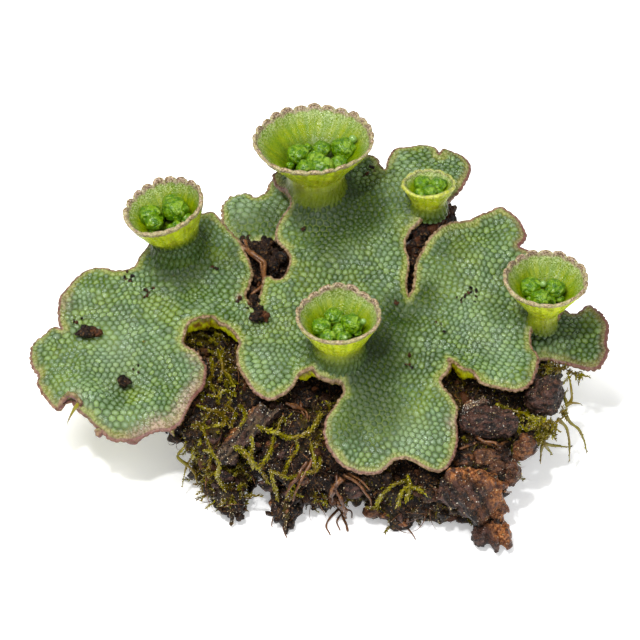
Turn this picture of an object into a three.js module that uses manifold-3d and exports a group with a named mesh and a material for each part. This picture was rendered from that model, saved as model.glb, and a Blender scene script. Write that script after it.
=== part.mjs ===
// A liverwort: a forking, lobed green plate with gemma cups on it, growing on a clod of peaty soil
// with scraps of bark, moss stems and rootlets. Millimetres, +Z up. The origin is on the ground,
// under the middle of the whole plant.
import * as THREE from "three";
import { mergeVertices } from "three/addons/utils/BufferGeometryUtils.js";
import Module from "manifold-3d";

const wasm = await Module();
wasm.setup();

// Driving dimensions, in mm
const plateHeight = 9.6; // of the plate's top above the ground, at the origin
const plateSlope = 0.2; // the plate climbs this much for each mm towards the back
const sideDroop = 0.004; // and falls off to both sides with the square of x
const frontDroop = 0.03; // and past the front line with the square of the distance
const frontLine = -6;
const plateThickness = 0.7;
const rimBulge = 0.12;
const marginDroop = 0.25; // the margin rolls down by this much
const marginReach = 0.7; // over this distance
const curlReach = 0.8; // a curled-up margin falls back over this distance
const cellSpacing = 0.8; // between the corners of the air-chamber relief
const cellRise = 0.17; // of each air chamber's middle
const lobeDrop = 1.35; // the two lower lobes lie this far below the main plate
const seatGap = 0.3; // between a piece and what carries it
const cupWall = 0.6;
const neckShare = 0.25; // of a cup's height, up to its narrowest place
const floorShare = 0.42; // of a cup's height, up to its floor inside
const soilStep = 1.45; // between the soil's grid points
const crumbleRise = 0.5;
const leafLength = 0.75; // of a moss leaf
const leafWidth = 0.26;
const leafSpacing = 1.1; // along a moss stem
const stemClearance = 0.45; // between a stem's outside and the soil, which is coarser than its formula

// Outlines are drawn as the plant is seen from the front, 40 degrees above the ground: u runs to the
// right and v upwards, in mm. A point at (x, y, z) is seen at u = x and v = y * rise + z * run.
const viewRise = (40 * Math.PI) / 180;
const rise = Math.sin(viewRise);
const run = Math.cos(viewRise);

// Swells and hollows of the plate: x, y, height and reach
const swells = [
  [5.8, 0.5, -0.7, 1.1],
  [7.8, 2.8, -0.6, 2.0],
  [8.0, 11.5, 0.7, 3.0],
  [11.0, 7.0, -0.3, 2.5],
  [-13.0, -4.0, -0.5, 3.0],
  [-16.0, -6.6, 0.45, 1.3],
  [0.5, 4.0, 0.4, 2.6],
  [-0.3, 10.0, 1.0, 2.2],
  [-9.9, 5.6, 0.5, 2.0],
  [1.3, -4.4, 0.7, 2.1],
  [7.7, 8.2, 0.3, 1.5],
];

// Places where the margin curls up: u, v, height and reach along the margin
const curls = [
  [-8.2, 7.1, 1.5, 1.2],
  [-9.5, 5.3, 0.6, 0.6],
  [-6.0, 5.7, 0.6, 0.7],
  [-0.8, 3.4, 1.0, 0.8],
  [10.0, 3.5, 1.3, 1.0],
  [-17.4, 0.9, 0.8, 0.7],
];

// The main plate's margin, anticlockwise from behind the left cup
const leftBranch = [
  [-9.4, 14.1], [-10.6, 13.5], [-11.5, 12.6], [-12.0, 11.8], [-12.5, 11.1], [-13.1, 10.15],
  [-14.3, 9.95], [-15.3, 10.25], [-16.1, 10.15], [-17.0, 9.65], [-17.7, 8.9], [-18.2, 8.2],
  [-18.3, 7.3], [-18.25, 6.4], [-18.0, 5.87], [-18.7, 6.05], [-19.3, 5.65], [-19.95, 5.1],
  [-20.2, 4.2], [-19.95, 3.25], [-19.6, 2.8], [-19.65, 2.2], [-19.3, 1.4], [-18.8, 0.8],
  [-18.1, 0.4], [-17.75, 1.1], [-17.3, 1.3], [-16.95, 0.9], [-16.75, 0.4], [-16.2, -0.25],
  [-15.4, -0.9], [-14.9, -1.4], [-14.2, -1.8], [-13.2, -1.85], [-12.4, -1.5], [-11.4, -1.05],
  [-10.5, -0.95], [-9.7, -0.4], [-9.2, 0.5], [-8.6, 1.45], [-8.15, 2.1], [-8.0, 3.0],
];
const arch = [
  [-8.25, 3.9], [-8.8, 4.5], [-9.4, 4.9], [-9.6, 5.4], [-9.35, 6.1], [-9.1, 6.7], [-8.6, 7.05],
  [-8.0, 7.25], [-7.4, 7.1], [-7.1, 6.6], [-6.5, 6.25], [-6.0, 5.95], [-5.65, 5.2],
];
const middleLobe = [
  [-5.75, 4.3], [-5.6, 3.4], [-5.2, 2.5], [-4.7, 1.75], [-4.1, 1.35], [-3.4, 1.2], [-2.6, 1.45],
  [-1.9, 1.95], [-1.6, 2.5], [-1.3, 3.1], [-0.6, 3.5], [-0.3, 2.8], [0.3, 2.3], [0.9, 2.15],
];
const frontLobe = [
  [1.5, 2.1], [1.65, 1.7], [1.3, 1.1], [0.8, 0.4], [0.4, -0.3], [0.3, -1.2], [0.5, -2.0],
  [0.95, -2.6], [1.4, -3.2], [2.2, -3.65], [3.0, -3.95], [3.8, -4.05], [4.5, -3.75], [5.1, -3.25],
  [5.9, -3.05], [6.7, -3.3], [7.4, -3.7], [8.2, -3.8], [8.9, -3.45], [9.3, -2.6], [9.5, -1.7],
  [9.5, -0.6], [9.45, 0.4], [9.05, 1.2], [8.6, 1.7], [8.35, 2.3], [8.8, 2.9], [9.0, 3.5],
];
const rightBranch = [
  [8.95, 3.95], [9.4, 3.85], [10.0, 3.5], [10.6, 3.2], [10.8, 2.6], [11.15, 2.1], [12.0, 1.9],
  [12.9, 1.8], [13.8, 1.8], [14.5, 2.15], [14.9, 2.75], [15.1, 3.5], [15.2, 4.1], [14.8, 4.7],
  [14.6, 5.2], [14.9, 5.8], [15.6, 5.8], [16.3, 6.3], [16.9, 7.1], [17.1, 8.2], [16.7, 9.4],
  [15.9, 10.4], [14.9, 11.2], [13.95, 11.7], [14.3, 12.2], [14.4, 12.7], [14.1, 13.4],
  [13.6, 14.0], [12.7, 14.55], [12.0, 14.35], [11.2, 14.0], [10.6, 13.6], [10.1, 13.45],
  [9.3, 13.3], [8.5, 12.95], [7.9, 12.55], [7.6, 11.9], [7.4, 11.2], [7.1, 10.3], [6.9, 9.4],
  [6.6, 8.7], [6.25, 8.2],
];
const topRightBranch = [
  [6.1, 8.9], [6.1, 9.8], [6.2, 10.5], [6.1, 11.1], [5.95, 11.7], [6.05, 12.3], [6.4, 12.9],
  [6.9, 13.35], [7.5, 13.8], [8.2, 14.15], [8.9, 14.7], [9.4, 15.3], [9.9, 15.85], [10.2, 16.3],
  [10.5, 16.7], [10.65, 17.2], [10.4, 17.8], [9.9, 18.25], [9.3, 18.5], [8.75, 18.7],
  [8.4, 18.2], [8.1, 18.7], [7.3, 18.95], [6.7, 18.8], [6.4, 18.7], [5.5, 18.6], [5.0, 18.15],
  [4.8, 17.6], [4.6, 17.1], [4.25, 17.4], [4.0, 17.85], [3.5, 18.15],
];
const middleBranch = [
  [2.8, 17.9], [1.5, 17.6], [0, 17.5], [-1.5, 17.4], [-2.7, 17.2], [-3.3, 16.8], [-3.1, 16.1],
  [-2.4, 15.5], [-2.05, 14.7], [-2.5, 14.0], [-3.0, 13.2], [-3.0, 12.3], [-2.6, 11.75],
  [-2.2, 11.3], [-2.15, 10.5], [-2.5, 9.7], [-3.1, 9.5], [-3.7, 9.75], [-4.0, 9.1], [-4.2, 8.2],
  [-4.45, 7.3], [-4.9, 7.8], [-5.2, 8.4], [-5.0, 9.2], [-4.8, 9.9], [-5.1, 11.0], [-5.6, 12.0],
  [-6.3, 12.9], [-7.0, 13.5], [-7.6, 14.05], [-8.4, 13.95],
];
const mainOutline = [
  ...leftBranch, ...arch, ...middleLobe, ...frontLobe, ...rightBranch, ...topRightBranch,
  ...middleBranch,
];

// The two lower lobes, each running on under the main plate
const backLeftOutline = [
  [-6.8, 13.5], [-6.9, 14.3], [-6.9, 15.0], [-6.1, 15.65], [-5.1, 15.7], [-4.6, 15.35],
  [-3.8, 15.7], [-3.6, 16.3], [-3.2, 16.9], [-2.2, 16.6], [-1.5, 15.6], [-1.5, 14.2], [-1.9, 12.9],
  [-3.1, 12.3], [-4.2, 12.3], [-5.3, 12.2], [-6.2, 12.7],
];
const rightTipOutline = [
  [13.6, 5.6], [13.5, 4.6], [14.4, 3.95], [15.4, 4.1], [16.2, 4.1], [17.0, 3.8], [17.9, 3.5],
  [18.6, 3.3], [19.3, 3.45], [19.75, 4.0], [20.05, 4.6], [20.0, 5.3], [20.2, 6.2], [20.0, 6.8],
  [19.5, 7.45], [18.9, 7.85], [18.2, 7.4], [17.6, 7.25], [16.8, 7.6], [15.6, 7.7], [14.3, 6.9],
];

// Gemma cups: foot (u, v), lean to the right and to the back in degrees, sizes, number and height of
// the teeth, how full it is, and its gemmae as (u, v, radius)
const cups = {
  back: {
    foot: [-0.28, 16.3], lean: [-2, 6], rimRadius: 4.22, neckRadius: 1.85, footRadius: 2.15,
    height: 3.45, teeth: 26, toothRise: 0.3, fill: 0.66,
    gemmae: [
      [-1.57, 18.4, 0.77], [0.14, 18.8, 0.6], [1.68, 18.8, 0.85], [-0.25, 18.0, 0.68],
      [0.06, 17.5, 0.82], [-1.1, 17.5, 0.5], [1.34, 17.8, 0.55],
    ],
  },
  left: {
    foot: [-9.9, 11.75], lean: [-16, 0], rimRadius: 2.85, neckRadius: 1.5, footRadius: 1.85,
    height: 3.65, teeth: 20, toothRise: 0.3, fill: 0.74,
    gemmae: [[-12.4, 14.2, 0.76], [-11.6, 13.6, 0.6], [-10.1, 14.5, 0.9], [-10.4, 15.0, 0.6]],
  },
  front: {
    foot: [1.3, 4.45], lean: [0, 0], rimRadius: 2.95, neckRadius: 1.55, footRadius: 1.9,
    height: 3.15, teeth: 18, toothRise: 0.12, fill: 0.74,
    gemmae: [
      [0.07, 6.3, 0.66], [0.98, 7.0, 0.63], [2.2, 6.5, 0.74], [1.33, 6.1, 0.45], [0.56, 5.6, 0.5],
      [1.5, 5.6, 0.4],
    ],
  },
  small: {
    foot: [7.65, 14.8], lean: [0, 9], rimRadius: 1.86, neckRadius: 1.25, footRadius: 1.2,
    height: 1.55, teeth: 14, toothRise: 0.12, fill: 0.74,
    gemmae: [[7.15, 16.4, 0.6], [8.4, 16.3, 0.58], [7.7, 15.75, 0.55]],
  },
  right: {
    foot: [15.55, 6.5], lean: [3, 0], rimRadius: 2.95, neckRadius: 0.95, footRadius: 1.15,
    height: 3.8, teeth: 18, toothRise: 0.22, fill: 0.74,
    gemmae: [[14.7, 9.05, 0.75], [16.35, 8.95, 0.7], [15.4, 8.2, 0.7]],
  },
};

// Soil lumps: centre x, y, z and half-sizes along x, y, z
const soilLumps = [
  [2.5, -1.5, 4.5, 11.5, 10, 6],
  [-7.3, -3.6, 6, 4.8, 5.6, 3.6],
  [-6.9, -7.2, 3.4, 2.0, 2.8, 3.2],
  [-1.2, -8.4, 3.4, 2.2, 3.2, 3.6],
  [2.6, -7.6, 4, 3.6, 3.0, 3.4],
  [8.3, -9, 3, 4.5, 3.6, 3.9],
  [11.8, -4, 5, 4, 5.2, 4.6],
  [3, 6.5, 6, 8, 4.6, 4.6],
  [-5, 4.6, 7, 4.6, 4.8, 3.2],
  [11, 3.6, 6, 4, 4.6, 4],
  [-6.3, -10.2, 1.2, 1.0, 1.2, 1.6],
  [-2.4, -11.2, 1.0, 0.9, 1.1, 1.7],
  [-8.0, -7.6, 2.2, 1.3, 1.5, 1.5],
  [5.6, -11.0, 1.2, 1.6, 1.2, 1.6],
];

// Flat scraps in the soil: outline, thickness and how high its ridges stand
const scraps = {
  bark_strip_front: {
    outline: [
      [-4.5, 1.0], [-5.1, 0.3], [-5.9, -0.6], [-6.6, -1.5], [-7.2, -2.5], [-7.1, -3.2], [-6.3, -3.1],
      [-5.4, -2.2], [-4.7, -1.3], [-3.8, -0.4], [-2.9, 0.5], [-3.4, 0.8],
    ],
    thickness: 0.7, ridge: 0.16,
  },
  bark_flake_right: {
    outline: [
      [9.6, -4.2], [8.8, -4.9], [8.2, -5.5], [8.5, -6.4], [9.5, -7.0], [10.5, -7.3], [11.0, -7.9],
      [12.1, -8.3], [13.0, -8.2], [12.9, -6.8], [12.9, -5.6], [12.6, -4.6], [11.8, -3.9], [10.6, -3.6],
    ],
    thickness: 0.9, ridge: 0.25,
  },
  bark_strip_right: {
    outline: [
      [9.75, 0.35], [9.9, 0.9], [10.6, 1.25], [11.4, 1.55], [11.9, 1.3], [11.5, 0.8], [10.7, 0.45],
    ],
    thickness: 0.7, ridge: 0.1,
  },
};

// Rough lumps of bark and litter on the soil: seen middle (u, v), half-sizes and how finely split
const barkLumps = {
  bark_block_right: { seen: [11.7, -0.45], sizes: [1.3, 0.8, 0.65], detail: 2 },
  bark_lump_right: { seen: [15.7, 1.5], sizes: [1.15, 1.1, 1.1], detail: 2 },
  bark_lump_red: { seen: [14.1, -2.2], sizes: [0.75, 0.75, 0.85], detail: 1 },
  bark_lump_small: { seen: [13.4, -3.8], sizes: [0.55, 0.6, 0.75], detail: 1 },
};

// Moss stems and rootlets. A point is (u, v), laid on the soil, or (u, v, y) where it hangs free.
const mossStems = {
  moss_front_arc: {
    radius: 0.27,
    routes: [
      [[-4.4, -0.5], [-3.7, -0.8], [-2.9, -1.1], [-2.0, -1.35], [-1.1, -1.15], [-0.5, -0.7], [0.1, 0.2]],
      [[-3.2, -1.2], [-3.3, -1.9], [-3.6, -2.6], [-4.2, -3.5]],
      [[-0.8, -1.0], [-0.6, -1.9], [-0.4, -2.7], [-0.3, -3.6]],
    ],
  },
  moss_front_low: {
    radius: 0.25,
    routes: [[[-5.9, -1.9], [-5.4, -2.2], [-4.9, -2.7], [-4.5, -3.4]]],
  },
  moss_arch: {
    radius: 0.27,
    routes: [
      [[-7.1, 4.8], [-6.9, 4.1], [-6.8, 3.4], [-7.0, 2.6]],
      [[-6.8, 3.3], [-6.3, 2.9], [-6.0, 2.3]],
    ],
  },
  moss_left: {
    radius: 0.25,
    routes: [
      [[-7.7, -2.6], [-8.6, -2.35], [-9.3, -2.3, -8.6], [-9.9, -2.7, -8.8], [-9.4, -3.3, -8.9],
        [-9.6, -4.4, -9.1]],
      [[-9.4, -3.3, -8.9], [-8.8, -4.2, -9.1]],
    ],
  },
  moss_left_top: {
    radius: 0.27,
    routes: [[[-8.6, 0.9], [-7.8, 0.6], [-7.1, 0.4], [-6.6, -0.3], [-7.2, -0.6]]],
  },
  moss_under_lobe: {
    radius: 0.25,
    routes: [
      [[6.1, -3.9], [6.2, -4.7], [6.0, -5.6]],
      [[6.2, -4.6], [5.6, -5.2], [5.4, -6.0]],
      [[6.2, -4.7], [7.0, -5.0], [7.6, -5.4]],
    ],
  },
  moss_right_clump: {
    radius: 0.3,
    routes: [
      [[12.3, 0.9], [13.0, 0.6], [13.8, 0.4], [14.6, 0.0, -7.6], [15.3, -0.7, -7.6],
        [15.6, -1.6, -7.4], [15.4, -3.1, -6.8]],
      [[13.9, 0.4], [13.7, -0.4], [13.9, -1.2]],
      [[15.5, -1.4, -7.4], [16.2, -2.4, -6.6]],
      [[15.6, -1.6, -7.4], [16.5, -2.05, -6.8], [17.5, -2.0, -6.2]],
      [[14.6, 0.1, -7.6], [15.6, 0.0, -6.8], [16.6, -0.1, -6.2], [17.3, -0.2, -5.8],
        [18.1, -1.1, -5.6], [18.5, -2.4, -5.6]],
      [[16.9, -0.1, -6.1], [17.3, -1.4, -6.2], [17.35, -3.0, -6.6]],
      [[17.2, -0.1, -5.9], [17.2, 0.8, -5.6], [18.1, 0.95, -5.4]],
      [[17.2, 0.7, -5.6], [17.5, 1.5, -4.6], [17.4, 2.3, -3.4], [17.2, 3.0, -2.6], [18.2, 2.9, -2.8]],
    ],
  },
};
const rootlets = {
  root_orange: {
    radius: 0.2,
    routes: [[[9.95, -0.7], [10.6, -1.15], [11.3, -1.55, -9.7], [12.2, -1.8, -9.9], [13.1, -1.6]]],
  },
  root_fork: {
    radius: 0.2,
    routes: [
      [[-2.4, 1.0], [-1.8, 0.75], [-1.1, 0.5], [-0.8, -0.1]],
      [[-1.3, 0.6], [-1.2, 1.2], [-0.6, 1.35]],
    ],
  },
  root_middle: {
    radius: 0.22,
    routes: [[[-0.9, -3.0], [-1.3, -3.7], [-1.7, -4.4], [-2.3, -5.2]]],
  },
  root_under_lobe: {
    radius: 0.22,
    routes: [
      [[1.1, -3.9], [1.0, -4.8], [0.8, -5.8]],
      [[1.0, -4.9], [1.6, -5.9], [1.8, -7.0, -11.6]],
    ],
  },
};
const twigRoute = [[-5.3, 11.5], [-4.7, 11.2], [-4.1, 10.6], [-4.15, 9.8], [-4.35, 9.1]];
const twigRadius = 0.24;

// Soil crumbs lying on the plate: seen middle (u, v) and half-sizes
const crumbs = {
  crumb_left: { seen: [-16.1, 5.8], sizes: [1.0, 0.5, 0.35] },
  crumb_left_small: { seen: [-13.55, 2.35], sizes: [0.5, 0.35, 0.3] },
  crumb_gap: { seen: [-4.25, 6.9], sizes: [0.75, 0.5, 0.4] },
};

// Number helpers
function seededDraws(seed) {
  let state = seed;
  return () => {
    state = (state * 16807) % 2147483647;
    return state / 2147483647;
  };
}

function heightAcross(x, y) {
  let z = plateHeight + plateSlope * y - sideDroop * x * x;
  z -= frontDroop * Math.max(0, frontLine - y) ** 2;
  return z;
}

function mainHeight(x, y) {
  let z = heightAcross(x, y);
  for (const [sx, sy, height, reach] of swells) {
    z += height * Math.exp(-((x - sx) ** 2 + (y - sy) ** 2) / reach ** 2);
  }
  return z;
}

// The y at which a surface that is lifted by a given height is seen at (u, v)
function settle(u, v, heightAt, lift = 0) {
  const rounds = 40;
  const damping = 0.7;
  let y = (v - plateHeight * run) / rise;
  for (let i = 0; i < rounds; i++) {
    const seen = y * rise + (heightAt(u, y) + lift) * run;
    y += (damping * (v - seen)) / (rise + plateSlope * run);
  }
  return y;
}

// Solids
function solidFrom(points, triangles) {
  const vertProperties = new Float32Array(points.flatMap((p) => [p.x, p.y, p.z]));
  return new wasm.Manifold(
    new wasm.Mesh({ numProp: 3, vertProperties, triVerts: new Uint32Array(triangles.flat()) }),
  );
}

// A fused solid without the hollows that fusing sealed or scraps that came loose
function largestBody(solid) {
  return solid.decompose().sort((a, b) => b.volume() - a.volume())[0];
}

function geometryOf(solid) {
  const mesh = solid.getMesh();
  const geometry = new THREE.BufferGeometry();
  geometry.setAttribute("position", new THREE.BufferAttribute(mesh.vertProperties, 3));
  geometry.setIndex(new THREE.BufferAttribute(mesh.triVerts, 1));
  geometry.computeVertexNormals();
  return geometry;
}

// Delaunay triangles of points in the plane, each one anticlockwise
function delaunay(points) {
  const far = 1000;
  const all = [...points, [-far, -far], [far, -far], [0, far]];
  const count = points.length;
  const circled = (a, b, c) => {
    const [ax, ay] = all[a];
    const bx = all[b][0] - ax;
    const by = all[b][1] - ay;
    const cx = all[c][0] - ax;
    const cy = all[c][1] - ay;
    const twice = 2 * (bx * cy - by * cx);
    const ux = (cy * (bx * bx + by * by) - by * (cx * cx + cy * cy)) / twice;
    const uy = (bx * (cx * cx + cy * cy) - cx * (bx * bx + by * by)) / twice;
    return { corners: [a, b, c], x: ax + ux, y: ay + uy, squared: ux * ux + uy * uy };
  };
  let triangles = [circled(count, count + 1, count + 2)];
  points.forEach(([x, y], i) => {
    const open = new Map();
    triangles = triangles.filter((t) => {
      if ((x - t.x) ** 2 + (y - t.y) ** 2 >= t.squared) return true;
      const [a, b, c] = t.corners;
      for (const [from, to] of [[a, b], [b, c], [c, a]]) {
        if (!open.delete(to + " " + from)) open.set(from + " " + to, [from, to]);
      }
      return false;
    });
    for (const [from, to] of open.values()) triangles.push(circled(from, to, i));
  });
  return triangles.map((t) => t.corners).filter((t) => t.every((i) => i < count));
}

function isInside(x, y, polygon) {
  let inside = false;
  polygon.forEach(([ax, ay], i) => {
    const [bx, by] = polygon[(i + 1) % polygon.length];
    if (ay > y !== by > y && x < ((bx - ax) * (y - ay)) / (by - ay) + ax) inside = !inside;
  });
  return inside;
}

function distanceToMargin(x, y, polygon) {
  let nearest = Infinity;
  polygon.forEach(([ax, ay], i) => {
    const [bx, by] = polygon[(i + 1) % polygon.length];
    const length = (bx - ax) ** 2 + (by - ay) ** 2;
    const along = ((x - ax) * (bx - ax) + (y - ay) * (by - ay)) / length;
    const t = Math.min(1, Math.max(0, along));
    nearest = Math.min(nearest, Math.hypot(x - ax - t * (bx - ax), y - ay - t * (by - ay)));
  });
  return nearest;
}

// Lattice points inside a polygon, every third one the middle of a six-sided cell
function latticeInside(polygon, spacing) {
  const draw = seededDraws(41);
  const row = (spacing * Math.sqrt(3)) / 2;
  const reach = 24; // of the lattice, past the largest polygon
  const jitter = 0.02; // so that no four points lie on one circle
  const clearOfMargin = 0.6 * spacing;
  const found = [];
  for (let j = Math.ceil(-reach / row); j * row < reach; j++) {
    for (let i = Math.ceil(-reach / spacing); i * spacing < reach; i++) {
      const x = (i + Math.abs(j % 2) / 2) * spacing + jitter * draw();
      const y = j * row + jitter * draw();
      const column = i - Math.floor(j / 2);
      if (!isInside(x, y, polygon)) continue;
      if (distanceToMargin(x, y, polygon) < clearOfMargin) continue;
      found.push({ x, y, isMiddle: (((column - j) % 3) + 3) % 3 === 0 });
    }
  }
  return found;
}

// A sheet of even thickness over a polygon. baseAt gives the top at a point of the polygon's plane,
// and reliefAt how far it is raised there. Both faces are split into triangles alike.
function sheet({ polygon, spacing, thickness, baseAt, reliefAt }) {
  const lattice = latticeInside(polygon, spacing);
  const flat = [...polygon, ...lattice.map(({ x, y }) => [x, y])];
  const kept = delaunay(flat).filter((corners) => {
    const x = corners.reduce((sum, i) => sum + flat[i][0], 0) / 3;
    const y = corners.reduce((sum, i) => sum + flat[i][1], 0) / 3;
    return isInside(x, y, polygon);
  });
  const base = flat.map(([x, y]) => baseAt(x, y));
  const normals = base.map(() => new THREE.Vector3());
  for (const [a, b, c] of kept) {
    const ab = base[b].clone().sub(base[a]);
    const face = ab.cross(base[c].clone().sub(base[a]));
    for (const i of [a, b, c]) normals[i].add(face);
  }
  normals.forEach((normal) => normal.normalize());
  const top = base.map((p, i) => {
    const cell = lattice[i - polygon.length];
    return p.clone().addScaledVector(normals[i], cell ? reliefAt(cell) : 0);
  });
  const under = base.map((p, i) => p.clone().addScaledVector(normals[i], -thickness));

  const open = new Map();
  for (const [a, b, c] of kept) {
    for (const [from, to] of [[a, b], [b, c], [c, a]]) {
      if (!open.delete(to + " " + from)) open.set(from + " " + to, [from, to]);
    }
  }
  const outward = base.map(() => new THREE.Vector3());
  for (const [from, to] of open.values()) {
    const edge = base[to].clone().sub(base[from]);
    for (const i of [from, to]) outward[i].add(edge.clone().cross(normals[i]).normalize());
  }
  const count = base.length;
  const rim = base.map((p, i) => {
    const middle = p.clone().addScaledVector(normals[i], -thickness / 2);
    return middle.addScaledVector(outward[i].normalize(), rimBulge);
  });
  const triangles = [];
  for (const [a, b, c] of kept) {
    triangles.push([a, b, c], [a + count, c + count, b + count]);
  }
  const used = new Map();
  const rimAt = (i) => used.get(i) ?? used.set(i, 2 * count + used.size).get(i);
  for (const [a, b] of open.values()) {
    triangles.push([a, rimAt(a), rimAt(b)], [a, rimAt(b), b]);
    triangles.push([rimAt(a), a + count, b + count], [rimAt(a), b + count, rimAt(b)]);
  }
  const rimPoints = [...used.keys()].map((i) => rim[i]);
  return solidFrom([...top, ...under, ...rimPoints], triangles);
}

// A closed skin over rings of points, each ring joined to the next and both ends closed on their middle
function skinOver(rings) {
  const sides = rings[0].length;
  const points = rings.flat();
  const triangles = [];
  const middleOf = (ring) => {
    const sum = ring.reduce((total, p) => total.add(p), new THREE.Vector3());
    return points.push(sum.divideScalar(sides)) - 1;
  };
  const first = middleOf(rings[0]);
  const last = middleOf(rings[rings.length - 1]);
  for (let k = 0; k < sides; k++) {
    const next = (k + 1) % sides;
    triangles.push([first, next, k]);
    for (let r = 0; r + 1 < rings.length; r++) {
      const a = r * sides;
      const b = a + sides;
      triangles.push([a + k, a + next, b + next], [a + k, b + next, b + k]);
    }
    const end = (rings.length - 1) * sides;
    triangles.push([last, end + k, end + next]);
  }
  return solidFrom(points, triangles);
}

// A tube along a curve, tapering to its two ends
function tube(points, radius, sides, stepLength) {
  const curve = new THREE.CatmullRomCurve3(points, false, "centripetal");
  const steps = Math.max(3, Math.round(curve.getLength() / stepLength));
  const frames = curve.computeFrenetFrames(steps);
  const tipShare = 0.55; // of the radius, at the two ends
  const rings = [];
  for (let i = 0; i <= steps; i++) {
    const swell = Math.sin((Math.PI * (i + 1)) / (steps + 2));
    const width = radius * (tipShare + (1 - tipShare) * swell);
    const middle = curve.getPointAt(i / steps);
    const ring = [];
    for (let k = 0; k < sides; k++) {
      const angle = (2 * Math.PI * k) / sides;
      const p = middle.clone().addScaledVector(frames.normals[i], width * Math.cos(angle));
      ring.push(p.addScaledVector(frames.binormals[i], width * Math.sin(angle)));
    }
    rings.push(ring);
  }
  return { solid: skinOver(rings), curve };
}

// A rough lump: a ball of triangles pushed in and out by waves, sized and placed
function roughLump(middle, sizes, detail, roughness, phase) {
  const ball = new THREE.IcosahedronGeometry(1, detail);
  ball.deleteAttribute("normal");
  ball.deleteAttribute("uv");
  const merged = mergeVertices(ball, 1e-4);
  const place = merged.getAttribute("position");
  const points = [];
  for (let i = 0; i < place.count; i++) {
    const p = new THREE.Vector3().fromBufferAttribute(place, i);
    const across = Math.sin(3.1 * p.x + phase) * Math.sin(2.7 * p.y - phase);
    const up = Math.sin(4.3 * p.z + 2 * phase);
    p.multiplyScalar(1 + (roughness * (across + up)) / 2);
    points.push(p.multiply(new THREE.Vector3(...sizes)).add(middle));
  }
  const index = Array.from(merged.index.array);
  const triangles = [];
  for (let i = 0; i < index.length; i += 3) triangles.push(index.slice(i, i + 3));
  return solidFrom(points, triangles);
}

// The soil's outside: about how far a point is from it in mm, negative within
function bulkGap(x, y, z) {
  const blend = 0.8;
  let gap = 1e3;
  for (const [cx, cy, cz, rx, ry, rz] of soilLumps) {
    const lump = (Math.hypot((x - cx) / rx, (y - cy) / ry, (z - cz) / rz) - 1) * Math.min(rx, ry, rz);
    const mix = Math.max(0, blend - Math.abs(gap - lump)) / blend;
    gap = Math.min(gap, lump) - (mix * mix * blend) / 4;
  }
  const headroom = 1.1; // between the soil and the underside of a plate
  const underTip = Math.min(1, Math.max(0, x - 12));
  const underBackLobe = y > 6 && x < 0 ? 1 : 0;
  const lowered = headroom * (1 + Math.max(underTip, underBackLobe));
  return Math.max(gap, z - heightAcross(x, y) + plateThickness + lowered);
}

function soilGap(x, y, z) {
  const across = Math.sin(1.3 * x + Math.sin(1.1 * y)) * Math.sin(1.2 * y - 0.8 * z);
  const crumble = crumbleRise * across * Math.sin(1.3 * z + 0.6 * x);
  return Math.max(bulkGap(x, y, z) + crumble, -z);
}

// Where the view line through (u, v) comes within a distance of the soil
function layOnSoil(u, v, distance, gapAt) {
  const frontmost = -17;
  const rearmost = 14;
  const stride = 0.02;
  for (let y = frontmost; y < rearmost; y += stride) {
    const z = (v - y * rise) / run;
    if (z < distance + 0.1) return new THREE.Vector3(u, y, z);
    if (gapAt(u, y, z) < distance) return new THREE.Vector3(u, y, z);
  }
  throw new Error("no soil is seen at " + u + ", " + v);
}

// Where two bits of soil touch only along an edge or at a corner of the grid, the pinch is filled
function fillPinches(values, size, stride) {
  const filled = -0.1;
  const count = (size[2] - 1) * stride[2] - stride[1] - 1;
  let changed = true;
  while (changed) {
    changed = false;
    for (let i = 0; i < count; i++) {
      for (let a = 0; a < 3; a++) {
        const [s, t] = [stride[(a + 1) % 3], stride[(a + 2) % 3]];
        const face = [i, i + s, i + s + t, i + t];
        const isIn = face.map((n) => values[n] < 0);
        if (isIn[0] !== isIn[2] || isIn[1] !== isIn[3] || isIn[0] === isIn[1]) continue;
        for (const n of face) values[n] = Math.min(values[n], filled);
        changed = true;
      }
      const far = i + stride[0] + stride[1] + stride[2];
      for (const s of stride) {
        const [p, q] = [i + s, far - s];
        const others = stride.filter((other) => other !== s);
        const rest = [i, far, ...others.map((other) => p + other), ...others.map((other) => q - other)];
        const apart = values[p] < 0 === values[q] < 0 && rest.every((n) => values[n] < 0 !== values[p] < 0);
        if (!apart) continue;
        for (const n of rest) values[n] = Math.min(values[n], filled);
        changed = true;
      }
    }
  }
}

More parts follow.
